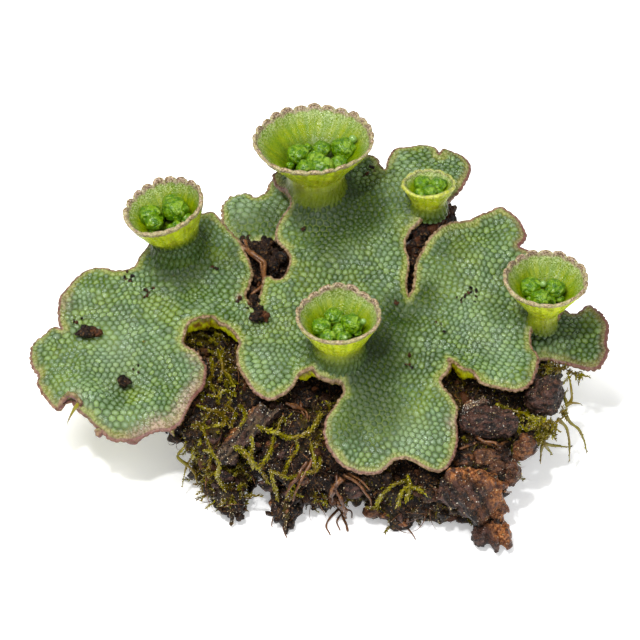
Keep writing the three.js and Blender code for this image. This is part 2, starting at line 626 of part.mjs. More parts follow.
// One point in each grid cell that the surface crosses, and one four-sided face for each crossed edge
function skinOfField(gapAt, low, high, step) {
  const size = low.map((start, a) => Math.ceil((high[a] - start) / step) + 1);
  const stride = [1, size[0], size[0] * size[1]];
  const at = (cell) => cell[0] + cell[1] * stride[1] + cell[2] * stride[2];
  const corner = (cell) => cell.map((c, a) => low[a] + c * step);
  const values = [];
  for (let k = 0; k < size[2]; k++) {
    for (let j = 0; j < size[1]; j++) {
      for (let i = 0; i < size[0]; i++) values.push(gapAt(...corner([i, j, k])));
    }
  }
  fillPinches(values, size, stride);
  const offsets = [0, 1, 2, 3, 4, 5, 6, 7].map((n) => [n & 1, (n >> 1) & 1, n >> 2]);
  const points = [];
  const pointOf = new Map();
  const pointIn = (cell) => {
    const key = at(cell);
    if (pointOf.has(key)) return pointOf.get(key);
    const sum = new THREE.Vector3();
    let crossings = 0;
    for (const from of offsets) {
      for (let a = 0; a < 3; a++) {
        if (from[a] === 1) continue;
        const to = from.map((c, b) => (a === b ? 1 : c));
        const start = cell.map((c, b) => c + from[b]);
        const end = cell.map((c, b) => c + to[b]);
        const g0 = values[at(start)];
        const g1 = values[at(end)];
        if (g0 < 0 === g1 < 0) continue;
        const p = new THREE.Vector3(...corner(start));
        sum.add(p.lerp(new THREE.Vector3(...corner(end)), g0 / (g0 - g1)));
        crossings++;
      }
    }
    const middle = sum.divideScalar(crossings);
    if (cell[2] === 0) middle.z = 0;
    pointOf.set(key, points.push(middle) - 1);
    return points.length - 1;
  };
  const triangles = [];
  for (let k = 0; k + 1 < size[2]; k++) {
    for (let j = 0; j + 1 < size[1]; j++) {
      for (let i = 0; i + 1 < size[0]; i++) {
        for (let a = 0; a < 3; a++) {
          const cell = [i, j, k];
          const ahead = cell.map((c, b) => (a === b ? c + 1 : c));
          const isIn = values[at(cell)] < 0;
          if (isIn === values[at(ahead)] < 0) continue;
          const across = [(a + 1) % 3, (a + 2) % 3];
          const around = [[1, 1], [0, 1], [0, 0], [1, 0]].map((back) => {
            const near = [...cell];
            near[across[0]] -= back[0];
            near[across[1]] -= back[1];
            return pointIn(near);
          });
          if (!isIn) around.reverse();
          const [p, q, r, s] = around;
          triangles.push([p, q, r], [p, r, s]);
        }
      }
    }
  }
  return solidFrom(points, triangles);
}

// Materials
const colours = {
  thallus: new THREE.MeshStandardMaterial({ color: 0x6f9450, roughness: 0.45, metalness: 0 }),
  cup: new THREE.MeshStandardMaterial({ color: 0x98ab2e, roughness: 0.5, metalness: 0 }),
  gemmae: new THREE.MeshStandardMaterial({ color: 0x6fb012, roughness: 0.25, metalness: 0 }),
  soil: new THREE.MeshStandardMaterial({ color: 0x2a1d14, roughness: 0.8, metalness: 0 }),
  bark: new THREE.MeshStandardMaterial({ color: 0x5a3a24, roughness: 0.7, metalness: 0 }),
  moss: new THREE.MeshStandardMaterial({ color: 0x6b6a1c, roughness: 0.6, metalness: 0 }),
  root: new THREE.MeshStandardMaterial({ color: 0x8a5a30, roughness: 0.6, metalness: 0 }),
};

const liverwort = new THREE.Group();
liverwort.name = "liverwort";

function add(name, solid, colour) {
  const mesh = new THREE.Mesh(geometryOf(solid), colours[colour].clone());
  mesh.name = name;
  liverwort.add(mesh);
}

// Plates
const cupFeet = Object.values(cups).map(({ foot: [u, v], footRadius }) => ({
  x: u,
  y: settle(u, v, mainHeight),
  radius: footRadius + 0.3,
}));

function isUnderCup({ x, y }) {
  return cupFeet.some((foot) => Math.hypot(x - foot.x, y - foot.y) < foot.radius);
}

// The margin in plan, with a point halfway along each long stretch, as (x, y, lift)
function marginOf(outline, heightAt, curlsHere) {
  const corners = outline.map(([u, v]) => {
    const lift = curlsHere.reduce((sum, [cu, cv, height, reach]) => {
      return sum + height * Math.exp(-((u - cu) ** 2 + (v - cv) ** 2) / reach ** 2);
    }, -marginDroop);
    return new THREE.Vector3(u, settle(u, v, heightAt, lift), lift);
  });
  const curve = new THREE.CatmullRomCurve3(corners, true, "centripetal");
  const longStretch = 1.1;
  const points = [];
  corners.forEach((corner, i) => {
    points.push(corner);
    const next = corners[(i + 1) % corners.length];
    if (corner.distanceTo(next) > longStretch) points.push(curve.getPoint((i + 0.5) / corners.length));
  });
  return points;
}

function plantPlate(outline, heightAt, curlsHere) {
  const margin = marginOf(outline, heightAt, curlsHere);
  const polygon = margin.map((p) => [p.x, p.y]);
  const raised = margin.filter((p) => p.z > 0);
  const baseAt = (x, y) => {
    let lift = -marginDroop * Math.exp(-distanceToMargin(x, y, polygon) / marginReach);
    for (const p of raised) {
      const near = Math.hypot(x - p.x, y - p.y);
      lift = Math.max(lift, p.z * Math.exp(-near / curlReach));
    }
    return new THREE.Vector3(x, y, heightAt(x, y) + lift);
  };
  const reliefAt = (cell) => (cell.isMiddle && !isUnderCup(cell) ? cellRise : 0);
  return sheet({ polygon, spacing: cellSpacing, thickness: plateThickness, baseAt, reliefAt });
}

const backLeftHeight = (x, y) => heightAcross(x, y) - lobeDrop;
const rightTipHeight = (x, y) => {
  const curlStart = 16.5;
  const curlRise = 0.07;
  return heightAcross(x, y) - lobeDrop - 0.2 + curlRise * Math.max(0, x - curlStart) ** 2;
};
add("thallus_main", plantPlate(mainOutline, mainHeight, curls), "thallus");
add("thallus_back_left", plantPlate(backLeftOutline, backLeftHeight, []), "thallus");
add("thallus_right_tip", plantPlate(rightTipOutline, rightTipHeight, []), "thallus");

// Gemma cups and their gemmae
function cupFrame({ foot: [u, v], lean, height }) {
  const y = settle(u, v, mainHeight);
  const foot = new THREE.Vector3(u, y, mainHeight(u, y) + seatGap);
  const tilt = lean.map((degrees) => Math.tan((degrees * Math.PI) / 180));
  const axisAt = (share) => new THREE.Vector3(tilt[0] * share, tilt[1] * share, 1).normalize();
  const axis = axisAt(1);
  // The rings stand level on the plate and tip over to the lean by half the height
  const ringAt = (t, radius, angle, raise = 0) => {
    const up = axisAt(Math.min(1, 2 * t));
    const across = new THREE.Vector3(1, 0, 0).addScaledVector(up, -up.x).normalize();
    const along = up.clone().cross(across);
    const p = foot.clone().addScaledVector(axis, t * height).addScaledVector(up, raise);
    p.addScaledVector(across, radius * Math.cos(angle));
    return p.addScaledVector(along, radius * Math.sin(angle));
  };
  return { foot, axis, ringAt };
}

// A cup narrows from its foot to its neck and then opens like a bowl
function outerRadius(cup, t) {
  if (t < neckShare) return cup.footRadius + ((cup.neckRadius - cup.footRadius) * t) / neckShare;
  const opened = ((t - neckShare) / (1 - neckShare)) ** 0.9;
  return cup.neckRadius + (cup.rimRadius - cup.neckRadius) * opened;
}

function cupSolid(cup) {
  const { ringAt } = cupFrame(cup);
  const segments = 2 * cup.teeth;
  const ring = (t, radius, toothed) => {
    const points = [];
    for (let k = 0; k < segments; k++) {
      const raise = toothed && k % 2 ? cup.toothRise : 0;
      points.push(ringAt(t, radius + raise / 2, (2 * Math.PI * k) / segments, raise));
    }
    return points;
  };
  const underside = [0.4, 1].map((share) => ring(0, share * cup.footRadius, false));
  for (const p of underside.flat()) p.z = mainHeight(p.x, p.y) + seatGap;
  const halfwayUp = 0.65;
  const outer = [neckShare, halfwayUp].map((t) => ring(t, outerRadius(cup, t), false));
  const rimRings = [ring(1, cup.rimRadius, true), ring(1, cup.rimRadius - cupWall, true)];
  const inner = [halfwayUp, floorShare].map((t) => ring(t, outerRadius(cup, t) - cupWall, false));
  return skinOver([...underside, ...outer, ...rimRings, ...inner]);
}

function gemmaeSolid(cup) {
  const { foot, axis, ringAt } = cupFrame(cup);
  const sides = 12;
  const sunk = 0.06; // the bed's top lies this share of the height below the gemmae's middles
  const bed = [floorShare + seatGap / cup.height, cup.fill - sunk].map((t) => {
    const radius = outerRadius(cup, t) - cupWall - seatGap;
    return Array.from({ length: sides }, (_, k) => ringAt(t, radius, (2 * Math.PI * k) / sides));
  });
  let solid = skinOver(bed);
  const flatness = 0.8;
  const roughness = 0.08;
  const sight = new THREE.Vector3(0, -run / rise, 1);
  cup.gemmae.forEach(([u, v, radius], i) => {
    const start = new THREE.Vector3(u, v / rise, 0);
    const level = cup.fill * cup.height - start.clone().sub(foot).dot(axis);
    const middle = start.addScaledVector(sight, level / sight.dot(axis));
    const inCup = middle.clone().sub(foot).addScaledVector(axis, -cup.fill * cup.height);
    const most = outerRadius(cup, cup.fill) - cupWall - seatGap - radius;
    const excess = inCup.length() - most;
    if (excess > 0) middle.addScaledVector(inCup.normalize(), -excess);
    const sizes = [radius, radius, flatness * radius];
    solid = solid.add(roughLump(middle, sizes, 1, roughness, i));
  });
  return largestBody(solid);
}

for (const [name, cup] of Object.entries(cups)) {
  add("gemma_cup_" + name, cupSolid(cup), "cup");
  add("gemmae_" + name, gemmaeSolid(cup), "gemmae");
}

// Scraps, lumps, moss and rootlets on the soil
function scrapSolid({ outline, thickness, ridge }) {
  const overCrumbs = 0.25;
  const baseAt = (u, v) => layOnSoil(u, v, thickness + seatGap + overCrumbs, bulkGap);
  const reliefAt = ({ x, y }) => ridge * Math.sin(5 * x - 4 * y); // ridges run along the grain
  const anticlockwise = THREE.ShapeUtils.area(outline.map(([x, y]) => ({ x, y }))) > 0;
  const polygon = anticlockwise ? outline : [...outline].reverse();
  return sheet({ polygon, spacing: cellSpacing, thickness, baseAt, reliefAt });
}

const pieces = [];
for (const [name, scrap] of Object.entries(scraps)) {
  pieces.push([name, scrapSolid(scrap), "bark"]);
}

Object.entries(barkLumps).forEach(([name, { seen: [u, v], sizes, detail }], i) => {
  const roughness = 0.28;
  const halfDepth = Math.hypot(sizes[1] * run, sizes[2] * rise);
  const middle = layOnSoil(u, v, halfDepth + seatGap, soilGap);
  pieces.push([name, roughLump(middle, sizes, detail, roughness, i), "bark"]);
});

function laidRoute(route, radius) {
  return route.map(([u, v, y]) => {
    if (y !== undefined) return new THREE.Vector3(u, y, (v - y * rise) / run);
    const crossed = Object.values(scraps).find(({ outline }) => {
      return isInside(u, v, outline) || distanceToMargin(u, v, outline) < 3 * radius;
    });
    const over = crossed ? crossed.thickness + crossed.ridge + 0.4 : 0;
    return layOnSoil(u, v, radius + stemClearance + over, soilGap);
  });
}

// Small pointed leaves up a stem, each a three-sided spike, turned round it from one to the next
function leafUp(curve, stemRadius) {
  const goldenTurn = 2.4;
  const lean = 0.8; // of a leaf along the stem, to 1 out from it
  const sunk = 0.1;
  const count = Math.floor(curve.getLength() / leafSpacing);
  const leaves = [];
  for (let i = 1; i < count; i++) {
    const middle = curve.getPointAt(i / count);
    const along = curve.getTangentAt(i / count);
    const side = new THREE.Vector3(0, -run, rise).cross(along).normalize();
    side.applyAxisAngle(along, goldenTurn * i);
    const tip = along.clone().multiplyScalar(lean).add(side).normalize();
    const across = along.clone().cross(side).normalize();
    const root = middle.clone().addScaledVector(along, -sunk);
    const corners = [
      root.clone().addScaledVector(across, leafWidth),
      root.clone().addScaledVector(across, -leafWidth),
      root.clone().addScaledVector(along, 2 * leafWidth),
      middle.clone().addScaledVector(tip, stemRadius + leafLength),
    ];
    leaves.push(solidFrom(corners, [[0, 1, 2], [0, 3, 1], [1, 3, 2], [2, 3, 0]]));
  }
  return leaves;
}

const stemSides = 4;
for (const [name, { radius, routes }] of Object.entries(mossStems)) {
  let solid = null;
  for (const route of routes) {
    const stem = tube(laidRoute(route, radius), radius, stemSides, 4 * radius);
    solid = solid ? solid.add(stem.solid) : stem.solid;
    for (const leaf of leafUp(stem.curve, radius)) solid = solid.add(leaf);
  }
  pieces.push([name, largestBody(solid), "moss"]);
}

const rootSides = 6;
const rootStep = 0.7;
for (const [name, { radius, routes }] of Object.entries(rootlets)) {
  const stems = routes.map((route) => {
    return tube(laidRoute(route, radius), radius, rootSides, rootStep).solid;
  });
  pieces.push([name, stems.reduce((whole, stem) => whole.add(stem)), "root"]);
}
const twigPoints = laidRoute(twigRoute, twigRadius);
pieces.push(["twig_back", tube(twigPoints, twigRadius, rootSides, rootStep).solid, "root"]);

const soilLow = [-14.5, -14.5, -soilStep / 2];
const soilHigh = [17.5, 13, 11.5];
add("soil_clod", skinOfField(soilGap, soilLow, soilHigh, soilStep), "soil");
for (const [name, solid, colour] of pieces) add(name, solid, colour);

Object.entries(crumbs).forEach(([name, { seen: [u, v], sizes }], i) => {
  const roughness = 0.12;
  const lift = cellRise + seatGap + 0.7 * sizes[2];
  const y = settle(u, v, mainHeight, lift);
  const middle = new THREE.Vector3(u, y, mainHeight(u, y) + lift);
  add(name, roughLump(middle, sizes, 1, roughness, 5 + i), "soil");
});

export default liverwort;
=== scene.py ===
"""A liverwort in its finished looks: a forking green plate of small domed cells with gemma cups on it,
growing on a clod of peaty soil with bark, moss and rootlets.

Sizes are in millimetres, as in the model, and turn into metres when a mesh is made."""
import math
from itertools import product

import bmesh
import bpy
import numpy as np
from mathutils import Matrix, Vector
from mathutils.geometry import delaunay_2d_cdt


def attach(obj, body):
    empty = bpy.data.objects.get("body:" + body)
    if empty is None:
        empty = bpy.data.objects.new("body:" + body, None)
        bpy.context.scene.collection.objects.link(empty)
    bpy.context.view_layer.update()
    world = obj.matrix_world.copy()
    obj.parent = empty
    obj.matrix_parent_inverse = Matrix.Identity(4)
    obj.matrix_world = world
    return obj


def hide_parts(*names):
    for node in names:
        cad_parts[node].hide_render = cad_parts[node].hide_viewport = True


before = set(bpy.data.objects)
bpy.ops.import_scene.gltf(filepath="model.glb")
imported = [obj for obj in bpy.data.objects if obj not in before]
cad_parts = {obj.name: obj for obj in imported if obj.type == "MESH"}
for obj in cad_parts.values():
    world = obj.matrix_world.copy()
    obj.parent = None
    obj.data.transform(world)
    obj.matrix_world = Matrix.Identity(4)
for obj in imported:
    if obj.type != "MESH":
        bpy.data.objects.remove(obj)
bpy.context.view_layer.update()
METRES = 0.001  # in one millimetre

# Driving dimensions, as in the model
PLATE_HEIGHT = 9.6
PLATE_SLOPE = 0.2
SIDE_DROOP = 0.004
FRONT_DROOP = 0.03
FRONT_LINE = -6.0
PLATE_THICKNESS = 0.62
EDGE_THICKNESS = 0.2
MARGIN_DROOP = 0.25
MARGIN_REACH = 0.7
CURL_REACH = 0.8
CELL_WIDTH = 0.42
CELL_RISE = 0.14
COLLAR_REACH = 0.1
FLARE_RISE = 0.45
FLARE_REACH = 0.45
BEAD_WIDTH = 0.46
BEAD_RISE = 0.12
MARGIN_SPACING = 0.22
MARGIN_ROWS = ((0.2, 0.17), (0.4, 0.23), (0.62, 0.29))  # depth and least gap of the small cells there
LATTICE_DEPTH = 0.78
LATTICE_GAP = 0.27
UNDERSIDE_SPACING = 0.75
LOBE_DROP = 1.35
SEAT_GAP = 0.3
CUP_WALL = 0.6
FOOT_SHARE = 0.14  # of a cup's height
LIP_HALF = 0.13
NECK_SHARE = 0.25
FLOOR_SHARE = 0.42
VIEW_RISE = math.radians(40)
RISE = math.sin(VIEW_RISE)
RUN = math.cos(VIEW_RISE)

# Swells and hollows of the plate: x, y, height and reach
SWELLS = [
    (5.8, 0.5, -0.7, 1.1), (7.8, 2.8, -0.6, 2.0), (8.0, 11.5, 0.7, 3.0), (11.0, 7.0, -0.3, 2.5),
    (-13.0, -4.0, -0.5, 3.0), (-16.0, -6.6, 0.45, 1.3), (0.5, 4.0, 0.4, 2.6), (-0.3, 10.0, 1.0, 2.2),
    (-9.9, 5.6, 0.5, 2.0), (1.3, -4.4, 0.7, 2.1), (7.7, 8.2, 0.3, 1.5),
]

# Places where the margin curls up: u, v, height and reach along the margin
CURLS = [
    (-8.2, 7.1, 1.5, 1.2), (-9.5, 5.3, 0.6, 0.6), (-6.0, 5.7, 0.6, 0.7), (-0.8, 3.4, 1.0, 0.8),
    (10.0, 3.5, 1.3, 1.0), (-17.4, 0.9, 0.8, 0.7),
]

# The margins, anticlockwise as seen from the front: u to the right and v upwards
LEFT_BRANCH = [
    (-9.4, 14.1), (-10.6, 13.5), (-11.5, 12.6), (-12.0, 11.8), (-12.5, 11.1), (-13.1, 10.15),
    (-14.3, 9.95), (-15.3, 10.25), (-16.1, 10.15), (-17.0, 9.65), (-17.7, 8.9), (-18.2, 8.2),
    (-18.3, 7.3), (-18.25, 6.4), (-18.0, 5.87), (-18.7, 6.05), (-19.3, 5.65), (-19.95, 5.1), (-20.2, 4.2),
    (-19.95, 3.25), (-19.6, 2.8), (-19.65, 2.2), (-19.3, 1.4), (-18.8, 0.8), (-18.1, 0.4), (-17.75, 1.1),
    (-17.3, 1.3), (-16.95, 0.9), (-16.75, 0.4), (-16.2, -0.25), (-15.4, -0.9), (-14.9, -1.4),
    (-14.2, -1.8), (-13.2, -1.85), (-12.4, -1.5), (-11.4, -1.05), (-10.5, -0.95), (-9.7, -0.4),
    (-9.2, 0.5), (-8.6, 1.45), (-8.15, 2.1), (-8.0, 3.0),
]
ARCH = [
    (-8.25, 3.9), (-8.8, 4.5), (-9.4, 4.9), (-9.6, 5.4), (-9.35, 6.1), (-9.1, 6.7), (-8.6, 7.05),
    (-8.0, 7.25), (-7.4, 7.1), (-7.1, 6.6), (-6.5, 6.25), (-6.0, 5.95), (-5.65, 5.2),
]
MIDDLE_LOBE = [
    (-5.75, 4.3), (-5.6, 3.4), (-5.2, 2.5), (-4.7, 1.75), (-4.1, 1.35), (-3.4, 1.2), (-2.6, 1.45),
    (-1.9, 1.95), (-1.6, 2.5), (-1.3, 3.1), (-0.6, 3.5), (-0.3, 2.8), (0.3, 2.3), (0.9, 2.15),
]
FRONT_LOBE = [
    (1.5, 2.1), (1.65, 1.7), (1.3, 1.1), (0.8, 0.4), (0.4, -0.3), (0.3, -1.2), (0.5, -2.0), (0.95, -2.6),
    (1.4, -3.2), (2.2, -3.65), (3.0, -3.95), (3.8, -4.05), (4.5, -3.75), (5.1, -3.25), (5.9, -3.05),
    (6.7, -3.3), (7.4, -3.7), (8.2, -3.8), (8.9, -3.45), (9.3, -2.6), (9.5, -1.7), (9.5, -0.6),
    (9.45, 0.4), (9.05, 1.2), (8.6, 1.7), (8.35, 2.3), (8.8, 2.9), (9.0, 3.5),
]
RIGHT_BRANCH = [
    (8.95, 3.95), (9.4, 3.85), (10.0, 3.5), (10.6, 3.2), (10.8, 2.6), (11.15, 2.1), (12.0, 1.9),
    (12.9, 1.8), (13.8, 1.8), (14.5, 2.15), (14.9, 2.75), (15.1, 3.5), (15.2, 4.1), (14.8, 4.7),
    (14.6, 5.2), (14.9, 5.8), (15.6, 5.8), (16.3, 6.3), (16.9, 7.1), (17.1, 8.2), (16.7, 9.4),
    (15.9, 10.4), (14.9, 11.2), (13.95, 11.7), (14.3, 12.2), (14.4, 12.7), (14.1, 13.4), (13.6, 14.0),
    (12.7, 14.55), (12.0, 14.35), (11.2, 14.0), (10.6, 13.6), (10.1, 13.45), (9.3, 13.3), (8.5, 12.95),
    (7.85, 12.5), (7.45, 11.9), (7.1, 11.2), (6.75, 10.3), (6.6, 9.4), (6.45, 8.7), (6.2, 8.2),
]
TOP_RIGHT_BRANCH = [
    (6.1, 8.9), (6.1, 9.8), (6.2, 10.5), (6.1, 11.1), (5.95, 11.7), (6.05, 12.3), (6.4, 12.9),
    (6.9, 13.35), (7.5, 13.8), (8.2, 14.15), (8.9, 14.7), (9.4, 15.3), (9.9, 15.85), (10.2, 16.3),
    (10.5, 16.7), (10.65, 17.2), (10.4, 17.8), (9.9, 18.25), (9.3, 18.5), (8.75, 18.7), (8.4, 18.2),
    (8.1, 18.7), (7.3, 18.95), (6.7, 18.8), (6.4, 18.7), (5.5, 18.6), (5.0, 18.15), (4.8, 17.6),
    (4.6, 17.1), (4.25, 17.4), (4.0, 17.85), (3.5, 18.15),
]
MIDDLE_BRANCH = [
    (2.8, 17.9), (1.5, 17.6), (0, 17.5), (-1.5, 17.4), (-2.7, 17.2), (-3.3, 16.8), (-3.1, 16.1),
    (-2.4, 15.5), (-2.05, 14.7), (-2.5, 14.0), (-3.0, 13.2), (-3.0, 12.3), (-2.6, 11.75), (-2.2, 11.3),
    (-2.15, 10.5), (-2.5, 9.7), (-3.1, 9.5), (-3.7, 9.75), (-4.0, 9.1), (-4.2, 8.2), (-4.45, 7.3),
    (-4.9, 7.8), (-5.2, 8.4), (-5.0, 9.2), (-4.8, 9.9), (-5.1, 11.0), (-5.6, 12.0), (-6.3, 12.9),
    (-7.0, 13.5), (-7.6, 14.05), (-8.4, 13.95),
]
MAIN_OUTLINE = (
    LEFT_BRANCH + ARCH + MIDDLE_LOBE + FRONT_LOBE + RIGHT_BRANCH + TOP_RIGHT_BRANCH + MIDDLE_BRANCH
)
BACK_LEFT_OUTLINE = [
    (-6.8, 13.5), (-6.9, 14.3), (-6.9, 15.0), (-6.1, 15.65), (-5.1, 15.7), (-4.6, 15.35), (-3.8, 15.7),
    (-3.6, 16.3), (-3.2, 16.9), (-2.2, 16.6), (-1.5, 15.6), (-1.5, 14.2), (-1.9, 12.9), (-3.1, 12.3),
    (-4.2, 12.3), (-5.3, 12.2), (-6.2, 12.7),
]
RIGHT_TIP_OUTLINE = [
    (13.6, 5.6), (13.5, 4.6), (14.4, 3.95), (15.4, 4.1), (16.2, 4.1), (17.0, 3.8), (17.9, 3.5),
    (18.6, 3.3), (19.3, 3.45), (19.75, 4.0), (20.05, 4.6), (20.0, 5.3), (20.2, 6.2), (20.0, 6.8),
    (19.5, 7.45), (18.9, 7.85), (18.2, 7.4), (17.6, 7.25), (16.8, 7.6), (15.6, 7.7), (14.3, 6.9),
]

# Gemma cups, as in the model: foot (u, v), lean to the right and to the back in degrees, radii, height,
# number and height of the scallops, how full it is, and its gemmae as (u, v, radius). Also how far up its
# height cells cover it (lime), how far its back stands up (flap) and how tan its lip is (tan)
CUPS = {
    "back": dict(
        foot=(-0.28, 16.3), lean=(-2, 6), rim=4.22, neck=1.85, base=2.15, height=3.45,
        teeth=26, tooth_rise=0.3, fill=0.66, lime=0.1,
        gemmae=[
            (-1.57, 18.4, 0.77), (0.14, 18.8, 0.6), (1.68, 18.8, 0.85), (-0.25, 18.0, 0.68),
            (0.06, 17.5, 0.82), (-1.1, 17.5, 0.5), (1.34, 17.8, 0.55),
        ],
    ),
    "left": dict(
        foot=(-9.9, 11.75), lean=(-16, 0), rim=2.85, neck=1.5, base=1.85, height=3.65,
        teeth=20, tooth_rise=0.3, fill=0.74, lime=0.42,
        gemmae=[(-12.4, 14.2, 0.76), (-11.6, 13.6, 0.6), (-10.1, 14.5, 0.9), (-10.4, 15.0, 0.6)],
    ),
    "front": dict(
        foot=(1.3, 4.45), lean=(0, 0), rim=2.95, neck=1.55, base=1.9, height=3.15,
        teeth=18, tooth_rise=0.16, fill=0.74, flap=0.4, lime=0.18,
        gemmae=[
            (0.07, 6.3, 0.66), (0.98, 7.0, 0.63), (2.2, 6.5, 0.74), (1.33, 6.1, 0.45),
            (0.56, 5.6, 0.5), (1.5, 5.6, 0.4),
        ],
    ),
    "small": dict(
        foot=(7.65, 14.8), lean=(0, 9), rim=1.86, neck=1.25, base=1.2, height=1.55,
        teeth=14, tooth_rise=0.1, fill=0.74, lime=0.14, tan=0.5,
        gemmae=[(7.15, 16.4, 0.6), (8.4, 16.3, 0.58), (7.7, 15.75, 0.55)],
    ),
    "right": dict(
        foot=(15.55, 6.5), lean=(3, 0), rim=2.95, neck=0.95, base=1.15, height=3.8,
        teeth=18, tooth_rise=0.22, fill=0.74, lime=0.08,
        gemmae=[(14.7, 9.05, 0.75), (16.35, 8.95, 0.7), (15.4, 8.2, 0.7)],
    ),
}

# Soil lumps, as in the model: centre x, y, z and half-sizes along x, y, z
SOIL_LUMPS = [
    (2.5, -1.5, 4.5, 11.5, 10, 6), (-7.3, -3.6, 6, 4.8, 5.6, 3.6), (-6.9, -7.2, 3.4, 2.0, 2.8, 3.2),
    (-1.2, -8.4, 3.4, 2.2, 3.2, 3.6), (2.6, -7.6, 4, 3.6, 3.0, 3.4), (8.3, -9, 3, 4.5, 3.6, 3.9),
    (11.8, -4, 5, 4, 5.2, 4.6), (3, 6.5, 6, 8, 4.6, 4.6), (-5, 4.6, 7, 4.6, 4.8, 3.2),
    (11, 3.6, 6, 4, 4.6, 4), (-6.3, -10.2, 1.2, 1.0, 1.2, 1.6), (-2.4, -11.2, 1.0, 0.9, 1.1, 1.7),
    (-8.0, -7.6, 2.2, 1.3, 1.5, 1.5), (5.6, -11.0, 1.2, 1.6, 1.2, 1.6),
]


# Camera, floor and light
IMAGE_WIDTH = 640  # pixels, and as many high
PIXEL = 0.07  # mm
VIEW_MIDDLE = (0.0, 6.79, 1.03)  # (u, v) at the middle of the image, and the y of what is seen there
LENS = 600.0
SENSOR = 36.0


def seen_at(u, v, y):
    """The point at depth y that is seen at (u, v)."""
    return np.array([u, y, (v - y * RISE) / RUN])


def make_camera():
    camera = bpy.data.objects.new("camera", bpy.data.cameras.new("camera"))
    bpy.context.scene.collection.objects.link(camera)
    camera.data.lens = LENS
    camera.data.sensor_width = SENSOR
    camera.data.clip_start = 0.05
    camera.data.clip_end = 10
    middle = seen_at(*VIEW_MIDDLE)
    away = IMAGE_WIDTH * PIXEL * LENS / SENSOR
    place = middle + away * np.array([0, -RUN, RISE])
    camera.location = Vector(place) * METRES
    camera.rotation_euler = (math.pi / 2 - VIEW_RISE, 0, 0)
    bpy.context.scene.camera = camera


def make_floor():
    half = 1500.0
    corners = [(-half, -half, 0), (half, -half, 0), (half, half, 0), (-half, half, 0)]
    mesh = bpy.data.meshes.new("floor")
    mesh.from_pydata([Vector(c) * METRES for c in corners], [], [(0, 1, 2, 3)])
    floor = bpy.data.objects.new("floor", mesh)
    bpy.context.scene.collection.objects.link(floor)
    material = bpy.data.materials.new("floor_white")
    material.use_nodes = True
    surface = material.node_tree.nodes["Principled BSDF"]
    surface.inputs["Base Color"].default_value = (0.9, 0.9, 0.9, 1)
    surface.inputs["Roughness"].default_value = 1.0
    surface.inputs["Specular IOR Level"].default_value = 0.0
    surface.inputs["Emission Color"].default_value = (1.0, 1.0, 1.0, 1)
    surface.inputs["Emission Strength"].default_value = 0.35
    mesh.materials.append(material)


def make_light(name, place, size, watts, colour):
    lamp = bpy.data.lights.new(name, "AREA")
    lamp.size = size * METRES
    lamp.energy = watts
    lamp.color = colour
    light = bpy.data.objects.new(name, lamp)
    bpy.context.scene.collection.objects.link(light)
    light.location = Vector(place) * METRES
    light.rotation_euler = Vector(place).to_track_quat("Z", "Y").to_euler()


def make_lights():
    world = bpy.data.worlds.new("studio")
    world.use_nodes = True
    world.node_tree.nodes["Background"].inputs["Color"].default_value = (1.0, 1.0, 1.0, 1)
    world.node_tree.nodes["Background"].inputs["Strength"].default_value = 0.4
    bpy.context.scene.world = world
    make_light("key", (-110, -30, 350), 200, 1.42, (1.0, 0.98, 0.94))
    make_light("fill", (140, -260, 220), 240, 0.5, (0.96, 0.98, 1.0))
    make_light("spark", (-60, -170, 320), 20, 0.7, (1.0, 1.0, 1.0))
    bpy.context.scene.view_settings.view_transform = "Standard"


make_camera()
make_floor()
make_lights()


# Numbers and noise
def smooth(t):
    t = np.clip(t, 0, 1)
    return t * t * (3 - 2 * t)


def noise_at(points, width, seed=0):
    """Smooth noise from -1 to 1 at each point, with bumps about width mm across."""
    place = np.asarray(points, float) / width
    cell = np.floor(place).astype(np.int64)
    part = smooth(place - cell)
    total = np.zeros(len(place))
    for corner in product((0, 1), repeat=3):
        # A hash of the corner and the seed gives each corner its own even draw
        at = (cell + corner).astype(np.uint64)
        mixed = at[:, 0] * np.uint64(73856093) ^ at[:, 1] * np.uint64(19349663)
        mixed ^= at[:, 2] * np.uint64(83492791) ^ np.uint64(seed * 2654435761 + 97)
        mixed ^= mixed >> np.uint64(13)
        mixed *= np.uint64(0x9E3779B97F4A7C15)
        drawn = (mixed >> np.uint64(40)).astype(float) / 2**24
        total += drawn * np.prod(np.where(corner, part, 1 - part), axis=1)
    return 2 * total - 1


def layered_noise(points, width, layers, seed=0):
    total = np.zeros(len(points))
    for layer in range(layers):
        total += noise_at(points, width / 2**layer, seed + layer) / 2**layer
    return total


def wobble_at(points, width, seed):
    """Three smooth numbers from -1 to 1 at each point."""
    return np.stack([noise_at(points + k, width, seed) for k in range(3)], 1)


def unit(vectors):
    return vectors / np.maximum(np.linalg.norm(vectors, axis=-1, keepdims=True), 1e-12)


def in_plan(points):
    """Rows of x and y with a z of 0."""
    return np.column_stack([points, np.zeros(len(points))])


def keep_above(points, least=0.0):
    """Lifts the points that lie lower than least to it."""
    points[..., 2] = np.maximum(points[..., 2], least)


def seen_height(points):
    """The v at which each point is seen."""
    return points[:, 1] * RISE + points[:, 2] * RUN


def point_normals(points, faces):
    a, b, c = (points[faces[:, i]] for i in range(3))
    face = np.cross(b - a, c - a)
    total = np.zeros_like(points)
    for i in range(3):
        np.add.at(total, faces[:, i], face)
    return unit(total)


